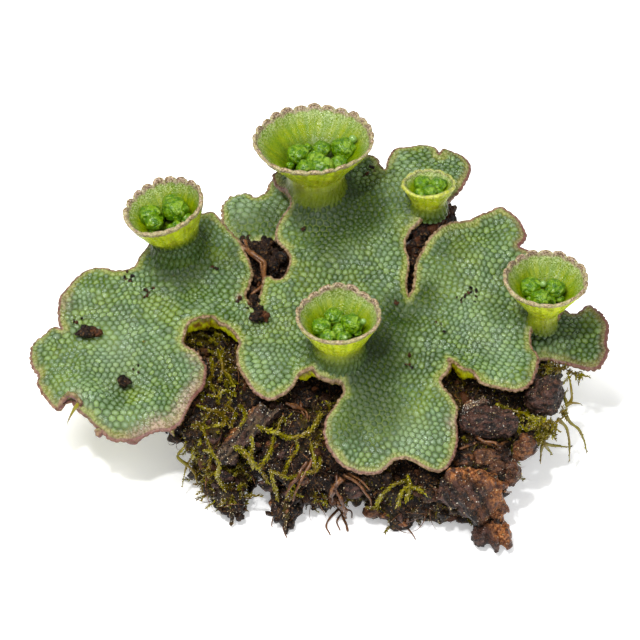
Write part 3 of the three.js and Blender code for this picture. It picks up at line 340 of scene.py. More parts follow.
# Meshes
class Skin:
    """Points in mm, triangles, and named values at the points, gathered from several bits."""

    def __init__(self, *names):
        self.names = names
        self.points = []
        self.faces = []
        self.values = {name: [] for name in names}
        self.count = 0

    def add(self, points, faces, **values):
        points = np.asarray(points, float).reshape(-1, 3)
        self.points.append(points)
        self.faces.append(np.asarray(faces, int).reshape(-1, 3) + self.count)
        for name in self.names:
            self.values[name].append(np.broadcast_to(values.get(name, 0.0), len(points)))
        self.count += len(points)

    def make(self, name, material, replaces=()):
        points = np.concatenate(self.points) * METRES
        faces = np.concatenate(self.faces)
        mesh = bpy.data.meshes.new(name)
        mesh.vertices.add(len(points))
        mesh.vertices.foreach_set("co", points.astype(np.float32).ravel())
        mesh.loops.add(3 * len(faces))
        mesh.loops.foreach_set("vertex_index", faces.astype(np.int32).ravel())
        mesh.polygons.add(len(faces))
        mesh.polygons.foreach_set("loop_start", np.arange(0, 3 * len(faces), 3, dtype=np.int32))
        mesh.polygons.foreach_set("use_smooth", np.full(len(faces), True))
        mesh.update(calc_edges=True)
        for value_name in self.names:
            values = np.concatenate(self.values[value_name]).astype(np.float32)
            mesh.attributes.new(value_name, "FLOAT", "POINT").data.foreach_set("value", values)
        mesh.materials.append(material)
        piece = bpy.data.objects.new(name, mesh)
        bpy.context.scene.collection.objects.link(piece)
        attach(piece, "root")
        if replaces:
            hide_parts(*replaces)


def ring_faces(rows, columns):
    """Triangles over a grid of points, row by row, with each row a closed ring."""
    here = np.arange(columns)
    after = (here + 1) % columns
    faces = []
    for start in columns * np.arange(rows - 1):
        a, b = start + here, start + after
        faces += [np.stack([a, b, b + columns], 1), np.stack([a, b + columns, a + columns], 1)]
    return np.concatenate(faces)


def closed_rings(rings, ends):
    """A skin over rows of rings, closed at both ends by fans around the two end points."""
    rows, columns = rings.shape[:2]
    here = np.arange(columns)
    after = (here + 1) % columns
    last = (rows - 1) * columns
    total = rows * columns
    caps = [
        np.stack([np.full(columns, total), after, here], 1),
        np.stack([np.full(columns, total + 1), last + here, last + after], 1),
    ]
    return np.concatenate([rings.reshape(-1, 3), ends]), np.concatenate([ring_faces(rows, columns), *caps])


def tube(points, radii, sides):
    """A tube through points with a radius at each, closed at both ends."""
    along = unit(np.gradient(points, axis=0))
    side = unit(np.cross(along, [0.13, 0.31, 0.94]))
    other = np.cross(along, side)
    angle = 2 * np.pi * np.arange(sides) / sides
    ring = np.cos(angle)[None, :, None] * side[:, None] + np.sin(angle)[None, :, None] * other[:, None]
    return closed_rings(points[:, None] + radii[:, None, None] * ring, points[[0, -1]])


def curve_through(corners, spacing, closed=False):
    """Points along the centripetal Catmull-Rom curve through the corners, about evenly spaced."""
    per_span = 16
    corners = np.asarray(corners, float)
    if closed:
        padded = np.concatenate([corners[-1:], corners, corners[:2]])
    else:
        before = 2 * corners[0] - corners[1]
        after = 2 * corners[-1] - corners[-2]
        padded = np.concatenate([[before], corners, [after]])
    t = np.linspace(0, 1, per_span, endpoint=False)[:, None]
    fine = []
    for p0, p1, p2, p3 in zip(padded, padded[1:], padded[2:], padded[3:]):
        gaps = [max(np.linalg.norm(b - a) ** 0.5, 1e-4) for a, b in ((p0, p1), (p1, p2), (p2, p3))]
        start = (p1 - p0) / gaps[0] - (p2 - p0) / (gaps[0] + gaps[1]) + (p2 - p1) / gaps[1]
        end = (p2 - p1) / gaps[1] - (p3 - p1) / (gaps[1] + gaps[2]) + (p3 - p2) / gaps[2]
        start, end = start * gaps[1], end * gaps[1]
        square = (3 * (p2 - p1) - 2 * start - end) * t**2
        cube = (2 * (p1 - p2) + start + end) * t**3
        fine.append(p1 + start * t + square + cube)
    fine = np.concatenate([*fine, padded[1:2] if closed else padded[-2:-1]])
    along = np.concatenate([[0], np.cumsum(np.linalg.norm(np.diff(fine, axis=0), axis=1))])
    count = max(3, round(along[-1] / spacing))
    wanted = np.linspace(0, along[-1], count, endpoint=not closed)
    return np.stack([np.interp(wanted, along, fine[:, a]) for a in range(fine.shape[1])], 1)


def icosphere(level):
    ball = bmesh.new()
    bmesh.ops.create_icosphere(ball, subdivisions=level, radius=1)
    points = np.array([v.co for v in ball.verts])
    faces = np.array([[v.index for v in f.verts] for f in ball.faces])
    ball.free()
    return points, faces


# Materials
class Nodes:
    """Builds one material's nodes with short calls."""

    def __init__(self, name):
        self.material = bpy.data.materials.new(name)
        self.material.use_nodes = True
        self.tree = self.material.node_tree
        self.surface = self.tree.nodes["Principled BSDF"]
        place = self.tree.nodes.new("ShaderNodeTexCoord").outputs["Object"]
        self.place = self.vector("SCALE", place, 1 / METRES)

    def link(self, value, socket):
        if isinstance(value, bpy.types.NodeSocket):
            self.tree.links.new(value, socket)
        elif socket.type == "RGBA":
            socket.default_value = (*screen_colour(*value), 1)
        else:
            socket.default_value = value

    def vector(self, operation, vector, scale):
        node = self.tree.nodes.new("ShaderNodeVectorMath")
        node.operation = operation
        self.link(vector, node.inputs[0])
        socket = node.inputs["Scale"] if operation == "SCALE" else node.inputs[1]
        self.link(scale, socket)
        return node.outputs["Vector"]

    def value(self, name):
        node = self.tree.nodes.new("ShaderNodeAttribute")
        node.attribute_name = name
        return node.outputs["Fac"]

    def math(self, operation, a, b):
        node = self.tree.nodes.new("ShaderNodeMath")
        node.operation = operation
        self.link(a, node.inputs[0])
        self.link(b, node.inputs[1])
        return node.outputs[0]

    def times(self, a, b):
        return self.math("MULTIPLY", a, b)

    def steps(self, value, low, high, start=0.0, end=1.0):
        """value, run smoothly from start to end as it goes from low to high."""
        node = self.tree.nodes.new("ShaderNodeMapRange")
        node.interpolation_type = "SMOOTHSTEP"
        self.link(value, node.inputs["Value"])
        for name, number in zip(("From Min", "From Max", "To Min", "To Max"), (low, high, start, end)):
            node.inputs[name].default_value = number
        return node.outputs["Result"]

    def mix(self, share, a, b):
        node = self.tree.nodes.new("ShaderNodeMix")
        node.data_type = "RGBA"
        node.clamp_factor = True
        self.link(share, node.inputs["Factor"])
        self.link(a, node.inputs[6])
        self.link(b, node.inputs[7])
        return node.outputs[2]

    def over(self, colour, value, low, high, share, upper):
        """colour, with up to a share of the upper one over it as value goes from low to high."""
        return self.mix(self.steps(value, low, high, 0, share), colour, upper)

    def noise(self, width, detail=2.0, roughness=0.5, stretch=None):
        node = self.tree.nodes.new("ShaderNodeTexNoise")
        place = self.place
        if stretch:
            place = self.vector("MULTIPLY", place, stretch)
        self.link(place, node.inputs["Vector"])
        node.inputs["Scale"].default_value = 1 / width
        node.inputs["Detail"].default_value = detail
        node.inputs["Roughness"].default_value = roughness
        return node.outputs["Fac"]

    def cells(self, width):
        node = self.tree.nodes.new("ShaderNodeTexVoronoi")
        self.link(self.place, node.inputs["Vector"])
        node.inputs["Scale"].default_value = 1 / width
        return node.outputs["Distance"]

    def bump(self, height, depth, strength):
        """Adds a bump of depth mm on top of the ones before it."""
        node = self.tree.nodes.new("ShaderNodeBump")
        node.inputs["Distance"].default_value = depth * METRES
        node.inputs["Strength"].default_value = strength
        self.link(height, node.inputs["Height"])
        before = self.surface.inputs["Normal"]
        if before.is_linked:
            self.link(before.links[0].from_socket, node.inputs["Normal"])
        self.link(node.outputs["Normal"], before)

    def finish(self, colour, roughness, specular=0.5, softness=0.0, radius=(0.4, 0.7, 0.15)):
        self.link(colour, self.surface.inputs["Base Color"])
        self.link(roughness, self.surface.inputs["Roughness"])
        self.surface.inputs["Specular IOR Level"].default_value = specular
        if softness:
            self.surface.inputs["Subsurface Weight"].default_value = softness
            self.surface.inputs["Subsurface Radius"].default_value = radius
            self.surface.inputs["Subsurface Scale"].default_value = METRES
        return self.material


def screen_colour(red, green, blue):
    """A colour given in 0 to 255 as it looks on a screen."""
    channels = []
    for channel in (red, green, blue):
        share = channel / 255
        channels.append(share / 12.92 if share <= 0.04045 else ((share + 0.055) / 1.055) ** 2.4)
    return tuple(channels)


def cell_colours(n):
    """Green domed cells with painted sage or bluish highlights on their tops, painted glints, painted light
    and shade, and mid-green or pale grooves between them.
    """
    crest, cell, deep, dome = (n.value(name) for name in ("crest", "cell", "deep", "dome"))
    colour = n.over((52, 78, 0), n.noise(6.0), 0.42, 0.6, 1, (58, 84, 8))
    colour = n.over(colour, n.noise(1.8, 3), 0.46, 0.66, 0.55, (70, 98, 60))
    colour = n.over(colour, n.noise(3.0), 0.52, 0.66, 0.7, (92, 110, 0))
    # Painted light on the crests of the plate's relief and painted shade in its hollows
    colour = n.over(colour, crest, 0.55, 0.95, 0.5, (106, 130, 84))
    colour = n.over(colour, crest, 0.45, 0.05, 0.6, (34, 54, 0))
    colour = n.over(colour, cell, 0.5, 1.0, 0.42, (116, 138, 42))
    colour = n.over(colour, cell, 0.5, 0.0, 0.6, (22, 46, 2))
    # Painted shade: darker where deep is painted, in the junctions and the slit, round the cups' feet and on
    # their necks' cells
    colour = n.mix(deep, colour, (26, 46, 0))
    # Painted light: paler where light is painted
    colour = n.mix(n.value("light"), colour, (126, 150, 112))
    out_of_shade = n.steps(deep, 0.0, 0.8, 1.0, 0.2)
    # Painted highlight on the top of each dome, and painted glints, both weaker in painted shade
    colour = n.mix(n.times(n.steps(dome, 0.64, 1.0, 0, 0.34), out_of_shade), colour, (148, 170, 142))
    glints = n.times(n.steps(n.noise(0.1, 3, 0.7), 0.56, 0.64), n.steps(n.noise(1.4, 3), 0.46, 0.6))
    colour = n.mix(n.times(n.times(glints, out_of_shade), 0.6), colour, (198, 214, 200))
    # Grooves: pale in places and dark in others, the dark ones partly painted shade in the creases between
    # cells
    groove_colour = n.over((22, 42, 0), n.noise(4.0), 0.52, 0.68, 1, (88, 106, 6))
    groove_colour = n.mix(n.times(deep, 0.5), groove_colour, (84, 104, 0))
    return n.over(colour, dome, 0.5, 0.02, 0.82, groove_colour)


def thallus_material():
    """Domed green cells and a finely mottled margin with a narrow tan to purple-brown rim."""
    n = Nodes("thallus_skin")
    edge, purple = n.value("edge"), n.value("purple")
    fine = n.noise(0.2, 3, 0.6)
    wavering = n.math("ADD", edge, n.times(n.math("SUBTRACT", n.noise(1.1), 0.5), 1.3))
    band_colour = n.over((98, 110, 20), fine, 0.42, 0.6, 1, (148, 150, 84))
    colour = n.over(cell_colours(n), wavering, 0.66, 0.1, 0.75, band_colour)
    blush = n.times(n.value("blush"), n.steps(fine, 0.3, 0.6, 0.55, 0.95))
    colour = n.mix(blush, colour, n.over((110, 82, 70), fine, 0.4, 0.6, 1, (172, 148, 136)))
    rim = n.math("ADD", n.steps(edge, 0.18, 0.02), n.times(purple, 0.8))
    rim_colour = n.over((80, 50, 38), n.noise(0.25, 3), 0.4, 0.62, 1, (138, 108, 88))
    rim_colour = n.mix(purple, rim_colour, n.mix(fine, (56, 24, 22), (126, 82, 74)))
    colour = n.mix(n.times(rim, 0.85), colour, rim_colour)
    under_colour = n.over((150, 152, 0), n.noise(0.8, 3), 0.42, 0.66, 1, (84, 54, 4))
    colour = n.mix(n.value("under"), colour, under_colour)
    n.bump(n.noise(0.09, 3, 0.6), 0.05, 0.9)
    return n.finish(colour, n.steps(n.noise(0.5), 0.35, 0.65, 0.12, 0.34), 0.32, 0.12)


def cup_material():
    """Cells at the neck, yellow-green beads up the outside, streaks inside and a tan scalloped rim."""
    n = Nodes("cup_skin")
    streak, share, neck = n.value("streak"), n.value("share"), n.value("neck")
    beads = n.noise(0.12, 3, 0.65)
    outer = n.over((150, 168, 0), streak, 0.3, 0.7, 1, (190, 202, 24))
    # Darker olive low on the outer wall and at the neck: partly the neck's own olive, partly painted shade
    # under the bowl
    outer = n.over(outer, share, 0.6, 0.15, 0.55, (116, 128, 0))
    outer = n.over(outer, beads, 0.56, 0.65, 0.6, (220, 228, 150))
    outer = n.over(outer, n.noise(0.7, 3), 0.5, 0.66, 0.45, (112, 104, 0))
    outer = n.over(outer, neck, 0.0, 0.55, 0.8, (84, 98, 0))
    outer = n.over(outer, neck, 0.4, 0.95, 1, cell_colours(n))
    inner = n.over((90, 116, 0), streak, 0.2, 0.9, 1, (122, 136, 4))
    inner = n.over(inner, share, 0.75, 0.5, 0.7, (66, 92, 0))
    grainy = n.over((88, 108, 24), beads, 0.42, 0.6, 1, (160, 172, 118))
    inner = n.over(inner, share, 0.76, 0.97, 0.8, grainy)
    colour = n.mix(n.value("inside"), outer, inner)
    lip_colour = n.over((86, 56, 46), n.noise(0.13, 3, 0.7), 0.42, 0.6, 1, (172, 148, 132))
    lip_colour = n.over(lip_colour, n.value("tooth"), 0.7, 0.15, 0.5, (154, 152, 112))
    colour = n.over(colour, n.value("lip"), 0.2, 0.85, 0.9, lip_colour)
    n.bump(n.steps(n.cells(0.13), 0.1, 0.6), 0.03, 0.7)
    n.bump(n.noise(0.1, 3, 0.6), 0.025, 0.9)
    return n.finish(colour, n.steps(n.noise(0.3), 0.35, 0.65, 0.18, 0.42), 0.3, 0.22, (0.5, 0.7, 0.1))


def gemmae_material():
    """Wet, crumpled bright green, painted lighter on the fold crests and darker in the creases."""
    n = Nodes("gemmae_wet")
    fold = n.value("fold")
    colour = n.over((58, 98, 0), n.noise(0.3), 0.4, 0.65, 1, (96, 130, 0))
    # Painted highlight on the fold crests and painted shade in the creases
    colour = n.over(colour, fold, 0.6, 1.0, 0.5, (146, 174, 60))
    colour = n.over(colour, fold, 0.35, 0.0, 0.75, (22, 52, 0))
    n.bump(n.steps(n.cells(0.12), 0.0, 0.6), 0.05, 0.9)
    return n.finish(colour, n.steps(n.noise(0.2), 0.4, 0.6, 0.14, 0.34), 0.35, 0.2, (0.2, 0.5, 0.05))


def soil_material():
    """Wet, crumbly, near-black peat with olive film in places."""
    n = Nodes("soil_peat")
    colour = n.over((4, 1, 1), n.noise(0.5, 3, 0.6), 0.4, 0.62, 1, (34, 18, 10))
    colour = n.over(colour, n.noise(0.2, 3, 0.7), 0.55, 0.66, 0.75, (112, 80, 44))
    film = n.times(n.steps(n.noise(0.7, 3), 0.44, 0.6), n.value("mossy"))
    film_colour = n.mix(n.noise(0.3, 3), (32, 24, 0), (94, 78, 0))
    colour = n.mix(n.times(film, 0.8), colour, film_colour)
    colour = n.over(colour, n.value("crumb"), 0.6, 1.0, 0.5, (90, 48, 20))
    n.bump(n.noise(0.3, 4, 0.65), 0.26, 1.0)
    n.bump(n.noise(0.08, 3, 0.6), 0.08, 0.9)
    return n.finish(colour, n.steps(n.noise(0.14), 0.5, 0.6, 0.5, 0.1), 0.2)


def bark_material():
    """Dark wet layers with a fine grain, orange-brown or grey-olive at the worn edges."""
    n = Nodes("bark_layers")
    grain = n.value("grain")
    colour = n.over((14, 8, 6), grain, 0.3, 0.7, 1, (72, 46, 38))
    colour = n.over(colour, n.noise(0.25, 4, 0.65), 0.42, 0.62, 0.75, (22, 11, 9))
    worn = n.times(n.value("worn"), n.steps(n.noise(0.8, 3), 0.3, 0.6))
    colour = n.mix(worn, colour, n.over((24, 18, 10), grain, 0.35, 0.65, 1, (96, 84, 58)))
    rusty = n.times(n.value("rust"), n.steps(n.noise(0.5, 3), 0.34, 0.56))
    rust_colour = n.over((84, 40, 14), n.noise(0.22, 4, 0.7), 0.42, 0.6, 1, (166, 108, 60))
    colour = n.mix(rusty, colour, rust_colour)
    # Small pale specks: painted glints
    colour = n.over(colour, n.noise(0.13, 3, 0.7), 0.58, 0.66, 0.5, (146, 110, 84))
    n.bump(grain, 0.12, 0.9)
    n.bump(n.noise(0.3, 4, 0.65), 0.16, 0.9)
    n.bump(n.noise(0.1, 3, 0.6), 0.08, 0.9)
    return n.finish(colour, n.steps(n.noise(0.14), 0.5, 0.6, 0.45, 0.1), 0.25)


def moss_material():
    """Olive to yellow-green, with pale leaf tips painted as wet glints."""
    n = Nodes("moss_leaves")
    colour = n.mix(n.value("tint"), (66, 50, 0), (138, 132, 0))
    colour = n.over(colour, n.noise(1.5), 0.45, 0.62, 0.6, (92, 66, 10))
    # Painted glints at the leaf tips
    colour = n.over(colour, n.value("tip"), 0.6, 1.0, 0.6, (206, 198, 100))
    n.bump(n.noise(0.1), 0.03, 0.8)
    return n.finish(colour, n.steps(n.noise(0.2), 0.4, 0.6, 0.14, 0.4), 0.35, 0.15, (0.3, 0.4, 0.05))


def root_material():
    """Tan to red-brown."""
    n = Nodes("root_fibres")
    colour = n.mix(n.value("pale"), (58, 28, 12), (128, 84, 46))
    colour = n.over(colour, n.noise(0.4, 3), 0.46, 0.62, 0.7, (40, 20, 10))
    colour = n.over(colour, n.noise(0.12, 3, 0.6), 0.58, 0.66, 0.5, (176, 132, 84))
    n.bump(n.noise(0.12, 3, 0.6, (1.0, 1.0, 0.4)), 0.03, 0.8)
    return n.finish(colour, n.steps(n.noise(0.2), 0.4, 0.6, 0.16, 0.4), 0.3)


def dew_glint_material():
    """Small beads of water, painted bright with a straw or grey cast so that they show as glints."""
    n = Nodes("dew_glint_beads")
    colour = n.over((220, 196, 138), n.noise(1.2), 0.4, 0.6, 1, (220, 214, 204))
    n.surface.inputs["Coat Weight"].default_value = 1.0
    return n.finish(colour, n.steps(n.noise(0.6), 0.4, 0.6, 0.04, 0.12), 0.7)


def droplet_material():
    """Small drops of water, with the green of the cup seen through them painted into their colour."""
    n = Nodes("droplets")
    n.surface.inputs["Coat Weight"].default_value = 1.0
    return n.finish(n.mix(n.noise(0.3), (82, 120, 36), (128, 160, 84)), 0.04, 0.5)


THALLUS = thallus_material()
CUP = cup_material()
GEMMAE = gemmae_material()
SOIL = soil_material()
BARK = bark_material()
MOSS = moss_material()
ROOT = root_material()
DROPLET = droplet_material()
DEW_GLINT_BEADS = dew_glint_material()


# Heights and margins
def height_across(x, y):
    z = PLATE_HEIGHT + PLATE_SLOPE * y - SIDE_DROOP * x * x
    return z - FRONT_DROOP * np.maximum(0, FRONT_LINE - y) ** 2


def main_height(x, y):
    z = height_across(x, y)
    for sx, sy, height, reach in SWELLS:
        z = z + height * np.exp(-((x - sx) ** 2 + (y - sy) ** 2) / reach**2)
    return z


def back_left_height(x, y):
    return height_across(x, y) - LOBE_DROP


def right_tip_height(x, y):
    drop = 0.2
    curl_start = 16.5
    curl_rise = 0.07
    return height_across(x, y) - LOBE_DROP - drop + curl_rise * np.maximum(0, x - curl_start) ** 2


def settle(u, v, height_at, lift=0.0):
    """The y at which a surface that is lifted by lift is seen at (u, v)."""
    rounds = 40
    stride = 0.7
    y = (v - PLATE_HEIGHT * RUN) / RISE
    for _ in range(rounds):
        seen = y * RISE + (height_at(u, y) + lift) * RUN
        y = y + stride * (v - seen) / (RISE + PLATE_SLOPE * RUN)
    return y


def stand_on(u, v, height_at, lift=0.0):
    """The point of a surface, lifted by lift, that is seen at (u, v)."""
    y = float(settle(u, v, height_at, lift))
    return np.array([u, y, float(height_at(u, y)) + lift])


def anticlockwise(outline):
    x, y = outline.T[:2]
    area = (x * np.roll(y, -1) - y * np.roll(x, -1)).sum()
    return outline[::-1].copy() if area < 0 else outline


def outward_of(outline):
    """The level way out of an anticlockwise outline at each of its points."""
    tangent = unit(np.roll(outline, -1, 0) - np.roll(outline, 1, 0))
    return np.stack([tangent[:, 1], -tangent[:, 0]], 1)


class CupFrame:
    """Where a cup stands: its foot, its axis, and points on its rings."""

    def __init__(self, cup):
        self.cup = cup
        self.foot = stand_on(*cup["foot"], main_height) + [0, 0, SEAT_GAP]
        self.tilt = np.tan(np.radians(cup["lean"]))
        self.axis = unit(np.array([*self.tilt, 1.0]))

    def ring(self, share, radius, angle, lift=0.0):
        """Points at a share of the cup's height; all arguments may be arrays of one shape."""
        share, radius, angle, lift = np.broadcast_arrays(share, radius, angle, lift)
        lean = np.minimum(1, 2 * share)[..., None] * np.append(self.tilt, 0) + [0, 0, 1]
        up = unit(lean)
        across = unit(np.array([1.0, 0, 0]) - up * up[..., :1])
        along = np.cross(up, across)
        point = self.foot + (share * self.cup["height"])[..., None] * self.axis + lift[..., None] * up
        point = point + (radius * np.cos(angle))[..., None] * across
        return point + (radius * np.sin(angle))[..., None] * along


CUP_FRAMES = {name: CupFrame(cup) for name, cup in CUPS.items()}


def outer_radius(cup, share):
    low = cup["base"] + (cup["neck"] - cup["base"]) * share / NECK_SHARE
    opened = np.maximum(0, (share - NECK_SHARE) / (1 - NECK_SHARE)) ** 0.9
    return np.where(share < NECK_SHARE, low, cup["neck"] + (cup["rim"] - cup["neck"]) * opened)


def neck_rise(x, y):
    """How far the plate rises against the cups' feet, and how near a foot it is, from 0 to 1."""
    risen = np.zeros_like(x)
    near = np.zeros_like(x)
    for place in CUP_FRAMES.values():
        away = np.hypot(x - place.foot[0], y - place.foot[1]) - place.cup["base"]
        risen = np.maximum(risen, FLARE_RISE * np.exp(-np.maximum(0, away + 0.15) / FLARE_REACH))
        near = np.maximum(near, smooth((1.3 - away) / 1.4))
    return risen, near


def margin_of(outline, height_at, curls):
    """The margin in plan as rows of x, y and lift, evenly spaced and finely scalloped."""
    corners = []
    for u, v in outline:
        lift = -MARGIN_DROOP
        for cu, cv, height, reach in curls:
            lift += height * math.exp(-((u - cu) ** 2 + (v - cv) ** 2) / reach**2)
        corners.append((u, float(settle(u, v, height_at, lift)), lift))
    margin = anticlockwise(curve_through(corners, MARGIN_SPACING, closed=True))
    level = in_plan(margin[:, :2])
    scallop = 0.05 * noise_at(level, 0.3, 5) + 0.07 * noise_at(level, 0.9, 6)
    margin[:, :2] += outward_of(margin[:, :2]) * scallop[:, None]
    return margin


def is_inside(points, polygon):
    """Which points are in a polygon in plan."""
    x, y = points[:, :1], points[:, 1:2]
    ax, ay = polygon.T
    bx, by = np.roll(polygon, -1, 0).T
    crossed = (ay > y) != (by > y)
    slope = np.where(by == ay, 1e9, by - ay)
    return (crossed & (x < (bx - ax) * (y - ay) / slope + ax)).sum(1) % 2 == 1


def margin_near(points, polygon):
    """How far each point is from the margin, and the corner and the run along it of the nearest place."""
    block = 4000
    step = np.roll(polygon, -1, 0) - polygon
    length = (step**2).sum(1)
    run_up = np.concatenate([[0], np.cumsum(np.sqrt(length))])
    gaps, index, along = [], [], []
    for i in range(0, len(points), block):
        rel = points[i : i + block, None] - polygon[None]
        t = np.clip((rel * step).sum(2) / length, 0, 1)
        squared = ((rel - t[..., None] * step) ** 2).sum(2)
        nearest = squared.argmin(1)
        rows = np.arange(len(nearest))
        gaps.append(np.sqrt(squared[rows, nearest]))
        index.append(nearest)
        along.append(run_up[nearest] + t[rows, nearest] * np.sqrt(length[nearest]))
    return np.concatenate(gaps), np.concatenate(index), np.concatenate(along)


def margin_distance(points, polygon):
    return margin_near(points, polygon)[0]


def points_within(points, polygon, depth):
    """The points in a polygon that are more than depth from its edge."""
    points = points[is_inside(points, polygon)]
    return points[margin_distance(points, polygon) > depth]


# Cells of the plate
def cell_centres(polygon, spread=CELL_WIDTH, seed=11):
    """Middles of the cells: rows of small ones along the margin, and an uneven lattice within."""
    half = 24  # mm, wider than the plate
    rows = np.arange(-half, half, spread * math.sqrt(3) / 2)
    x, y = np.meshgrid(np.arange(-half, half, spread), rows)
    x = x + (np.arange(len(rows)) % 2)[:, None] * spread / 2
    lattice = np.stack([x.ravel(), y.ravel()], 1)
    level = in_plan(lattice)
    bend = np.stack([noise_at(level, 6.0, 1), noise_at(level, 6.0, 2)], 1)
    crowd = np.stack([noise_at(level, 1.9, 16), noise_at(level, 1.9, 17)], 1)
    jitter = np.random.default_rng(seed).uniform(-0.075, 0.075, lattice.shape)
    lattice = lattice + 0.9 * bend + 0.34 * crowd + jitter
    low, high = polygon.min(0), polygon.max(0)
    lattice = lattice[((lattice > low) & (lattice < high)).all(1)]

    candidates = []
    for depth, gap in MARGIN_ROWS:
        row = points_within(polygon - depth * outward_of(polygon), polygon, 0.9 * depth)
        candidates += [(point, gap) for point in row]
    candidates += [(point, LATTICE_GAP) for point in points_within(lattice, polygon, LATTICE_DEPTH)]
    kept = []
    grid = {}
    bin_size = 0.45
    for point, gap in candidates:
        i, j = int(point[0] // bin_size), int(point[1] // bin_size)
        near = [q for a, b in product((-1, 0, 1), repeat=2) for q in grid.get((i + a, j + b), ())]
        if any((point[0] - q[0]) ** 2 + (point[1] - q[1]) ** 2 < gap * gap for q in near):
            continue
        grid.setdefault((i, j), []).append(point)
        kept.append(point)
    return np.array(kept)


def found_at(origin, count):
    """Where each of the first count points that went into a triangulation came out."""
    place = np.empty(count, int)
    for index, source in enumerate(origin):
        if 0 <= source < count:
            place[source] = index
    return place


def margin_first(flat, faces, origin, count):
    """Puts the points of the margin first, in their order, and tells how many there are."""
    on_margin = origin < count
    order = np.argsort(np.where(on_margin, origin, count + np.arange(len(flat))), kind="stable")
    place = np.empty(len(flat), int)
    place[order] = np.arange(len(flat))
    return flat[order], place[faces], int(on_margin.sum())


def triangulate(polygon, inner):
    """Triangles of the points of a polygon and points in it, as (points, faces)."""
    count = len(polygon)
    points = [Vector(p) for p in np.concatenate([polygon, inner]).tolist()]
    edges = [(i, (i + 1) % count) for i in range(count)]
    found = delaunay_2d_cdt(points, edges, [list(range(count))], 1, 1e-6)
    place, faces, origin = found[0], found[2], found[3]
    flat = np.array([tuple(p) for p in place])
    first = np.array([o[0] if o else -1 for o in origin])
    faces = np.array([f for f in faces if len(f) == 3])
    a, b, c = (flat[faces[:, i]] for i in range(3))
    turn = (b[:, 0] - a[:, 0]) * (c[:, 1] - a[:, 1]) - (b[:, 1] - a[:, 1]) * (c[:, 0] - a[:, 0])
    faces[turn < 0] = faces[turn < 0][:, ::-1]
    return flat, faces, first


def split_cells(flat, faces, count):
    """Splits triangles between cell middles into domed cells. Returns the points in plan, the triangles,
    how high on its dome each point is, the cell each belongs to, and the points halfway along edges."""
    ring_share = 0.68
    ring_rise = 0.78
    margin_rise = 0.35
    middle = flat[faces].mean(1)
    pairs = np.concatenate([faces[:, [0, 1]], faces[:, [1, 2]], faces[:, [2, 0]]])
    owner = np.tile(np.arange(len(faces)), 3)
    side_of = np.repeat(np.arange(3), len(faces))
    edges, edge_of = np.unique(np.sort(pairs, 1), axis=0, return_inverse=True)
    edge_of = edge_of.ravel()
    ring_points = flat[faces] + ring_share * (middle[:, None] - flat[faces])
    plan = np.concatenate([flat, middle, flat[edges].mean(1), ring_points.reshape(-1, 2)])
    corner = len(flat) + np.arange(len(faces))
    half = len(flat) + len(faces) + np.arange(len(edges))
    ring = len(flat) + len(faces) + len(edges) + np.arange(3 * len(faces)).reshape(-1, 3)

    made = []
    for side in range(3):
        here = side_of == side
        tri = owner[here]
        mid = half[edge_of[here]]
        made.append(np.stack([ring[tri, side], mid, corner[tri]], 1))
        made.append(np.stack([corner[tri], mid, ring[tri, (side + 1) % 3]], 1))
    by_edge = [[] for _ in edges]
    for row, edge in enumerate(edge_of):
        by_edge[edge].append((owner[row], side_of[row]))
    fans = []
    outer_edges = {}
    for edge, users in enumerate(by_edge):
        tri, side = users[0]
        a, b = faces[tri][side], faces[tri][(side + 1) % 3]
        ra, rb = ring[tri][side], ring[tri][(side + 1) % 3]
        if len(users) == 2:
            other, turned = users[1]
            qb, qa = ring[other][turned], ring[other][(turned + 1) % 3]
            fans += [(a, qa, ra), (ra, qa, half[edge]), (b, rb, qb), (rb, half[edge], qb)]
        else:
            fans += [(a, half[edge], ra), (b, rb, half[edge])]
            outer_edges[a] = (half[edge], b)
    made.append(np.array(fans))

    rise = np.zeros(len(plan))
    rise[count : len(flat)] = 1.0
    on_margin = np.isin(faces.ravel(), np.arange(count))
    rise[ring.ravel()] = np.where(on_margin, margin_rise, ring_rise)
    cell = np.full(len(plan), -1)
    cell[: len(flat)] = np.arange(len(flat))
    cell[ring.ravel()] = faces.ravel()
    return plan, np.concatenate(made), rise, cell, outer_edges


def beaded(points, polygon):
    """Pushes points near the margin in and out so that the margin is finely beaded."""
    reach = 0.16
    gap, index, along = margin_near(points, polygon)
    track = np.column_stack([along, np.zeros(len(along)), np.zeros(len(along))])
    phase = along / BEAD_WIDTH + 0.8 * noise_at(track, 1.7, 14)
    size = 0.65 + 0.45 * noise_at(track, 1.1, 15)
    bead = BEAD_RISE * size * (np.abs(np.sin(np.pi * phase)) ** 0.7 - 0.6)
    return points + outward_of(polygon)[index] * (bead * np.exp(-gap / reach))[:, None]


def cell_pattern(a, b, seed):
    """Uneven six-sided cells over (a, b), each about 1 wide. Gives the dome's height and a draw per cell."""
    best = np.full(len(a), 9.0)
    second = np.full(len(a), 9.0)
    draw = np.zeros(len(a))
    for step_b in (-1, 0, 1):
        row = np.round(b) + step_b
        shifted = a - 0.5 * (row % 2)
        for step_a in (-1, 0, 1):
            column = np.round(shifted) + step_a
            at = np.column_stack([column, row, np.full(len(a), seed)]) + 0.5
            jitter_a = 0.16 * noise_at(at, 0.37, 3)
            jitter_b = 0.16 * noise_at(at, 0.41, 4)
            gap = np.hypot(shifted - column - jitter_a, 0.866 * (b - row) - jitter_b)
            nearer = gap < best
            second = np.where(nearer, best, np.minimum(second, gap))
            draw = np.where(nearer, 0.5 + 0.5 * noise_at(at, 0.33, 5), draw)
            best = np.where(nearer, gap, best)
    return smooth((second - best) / 0.55), draw


# The plate
def rim_points(outer_edges):
    """The points of the outer edge in order, with the point halfway to the next after each corner."""
    rim = []
    corner = 0
    while not rim or corner != 0:
        half, after = outer_edges[corner]
        rim += [corner, half]
        corner = after
    return np.array(rim)


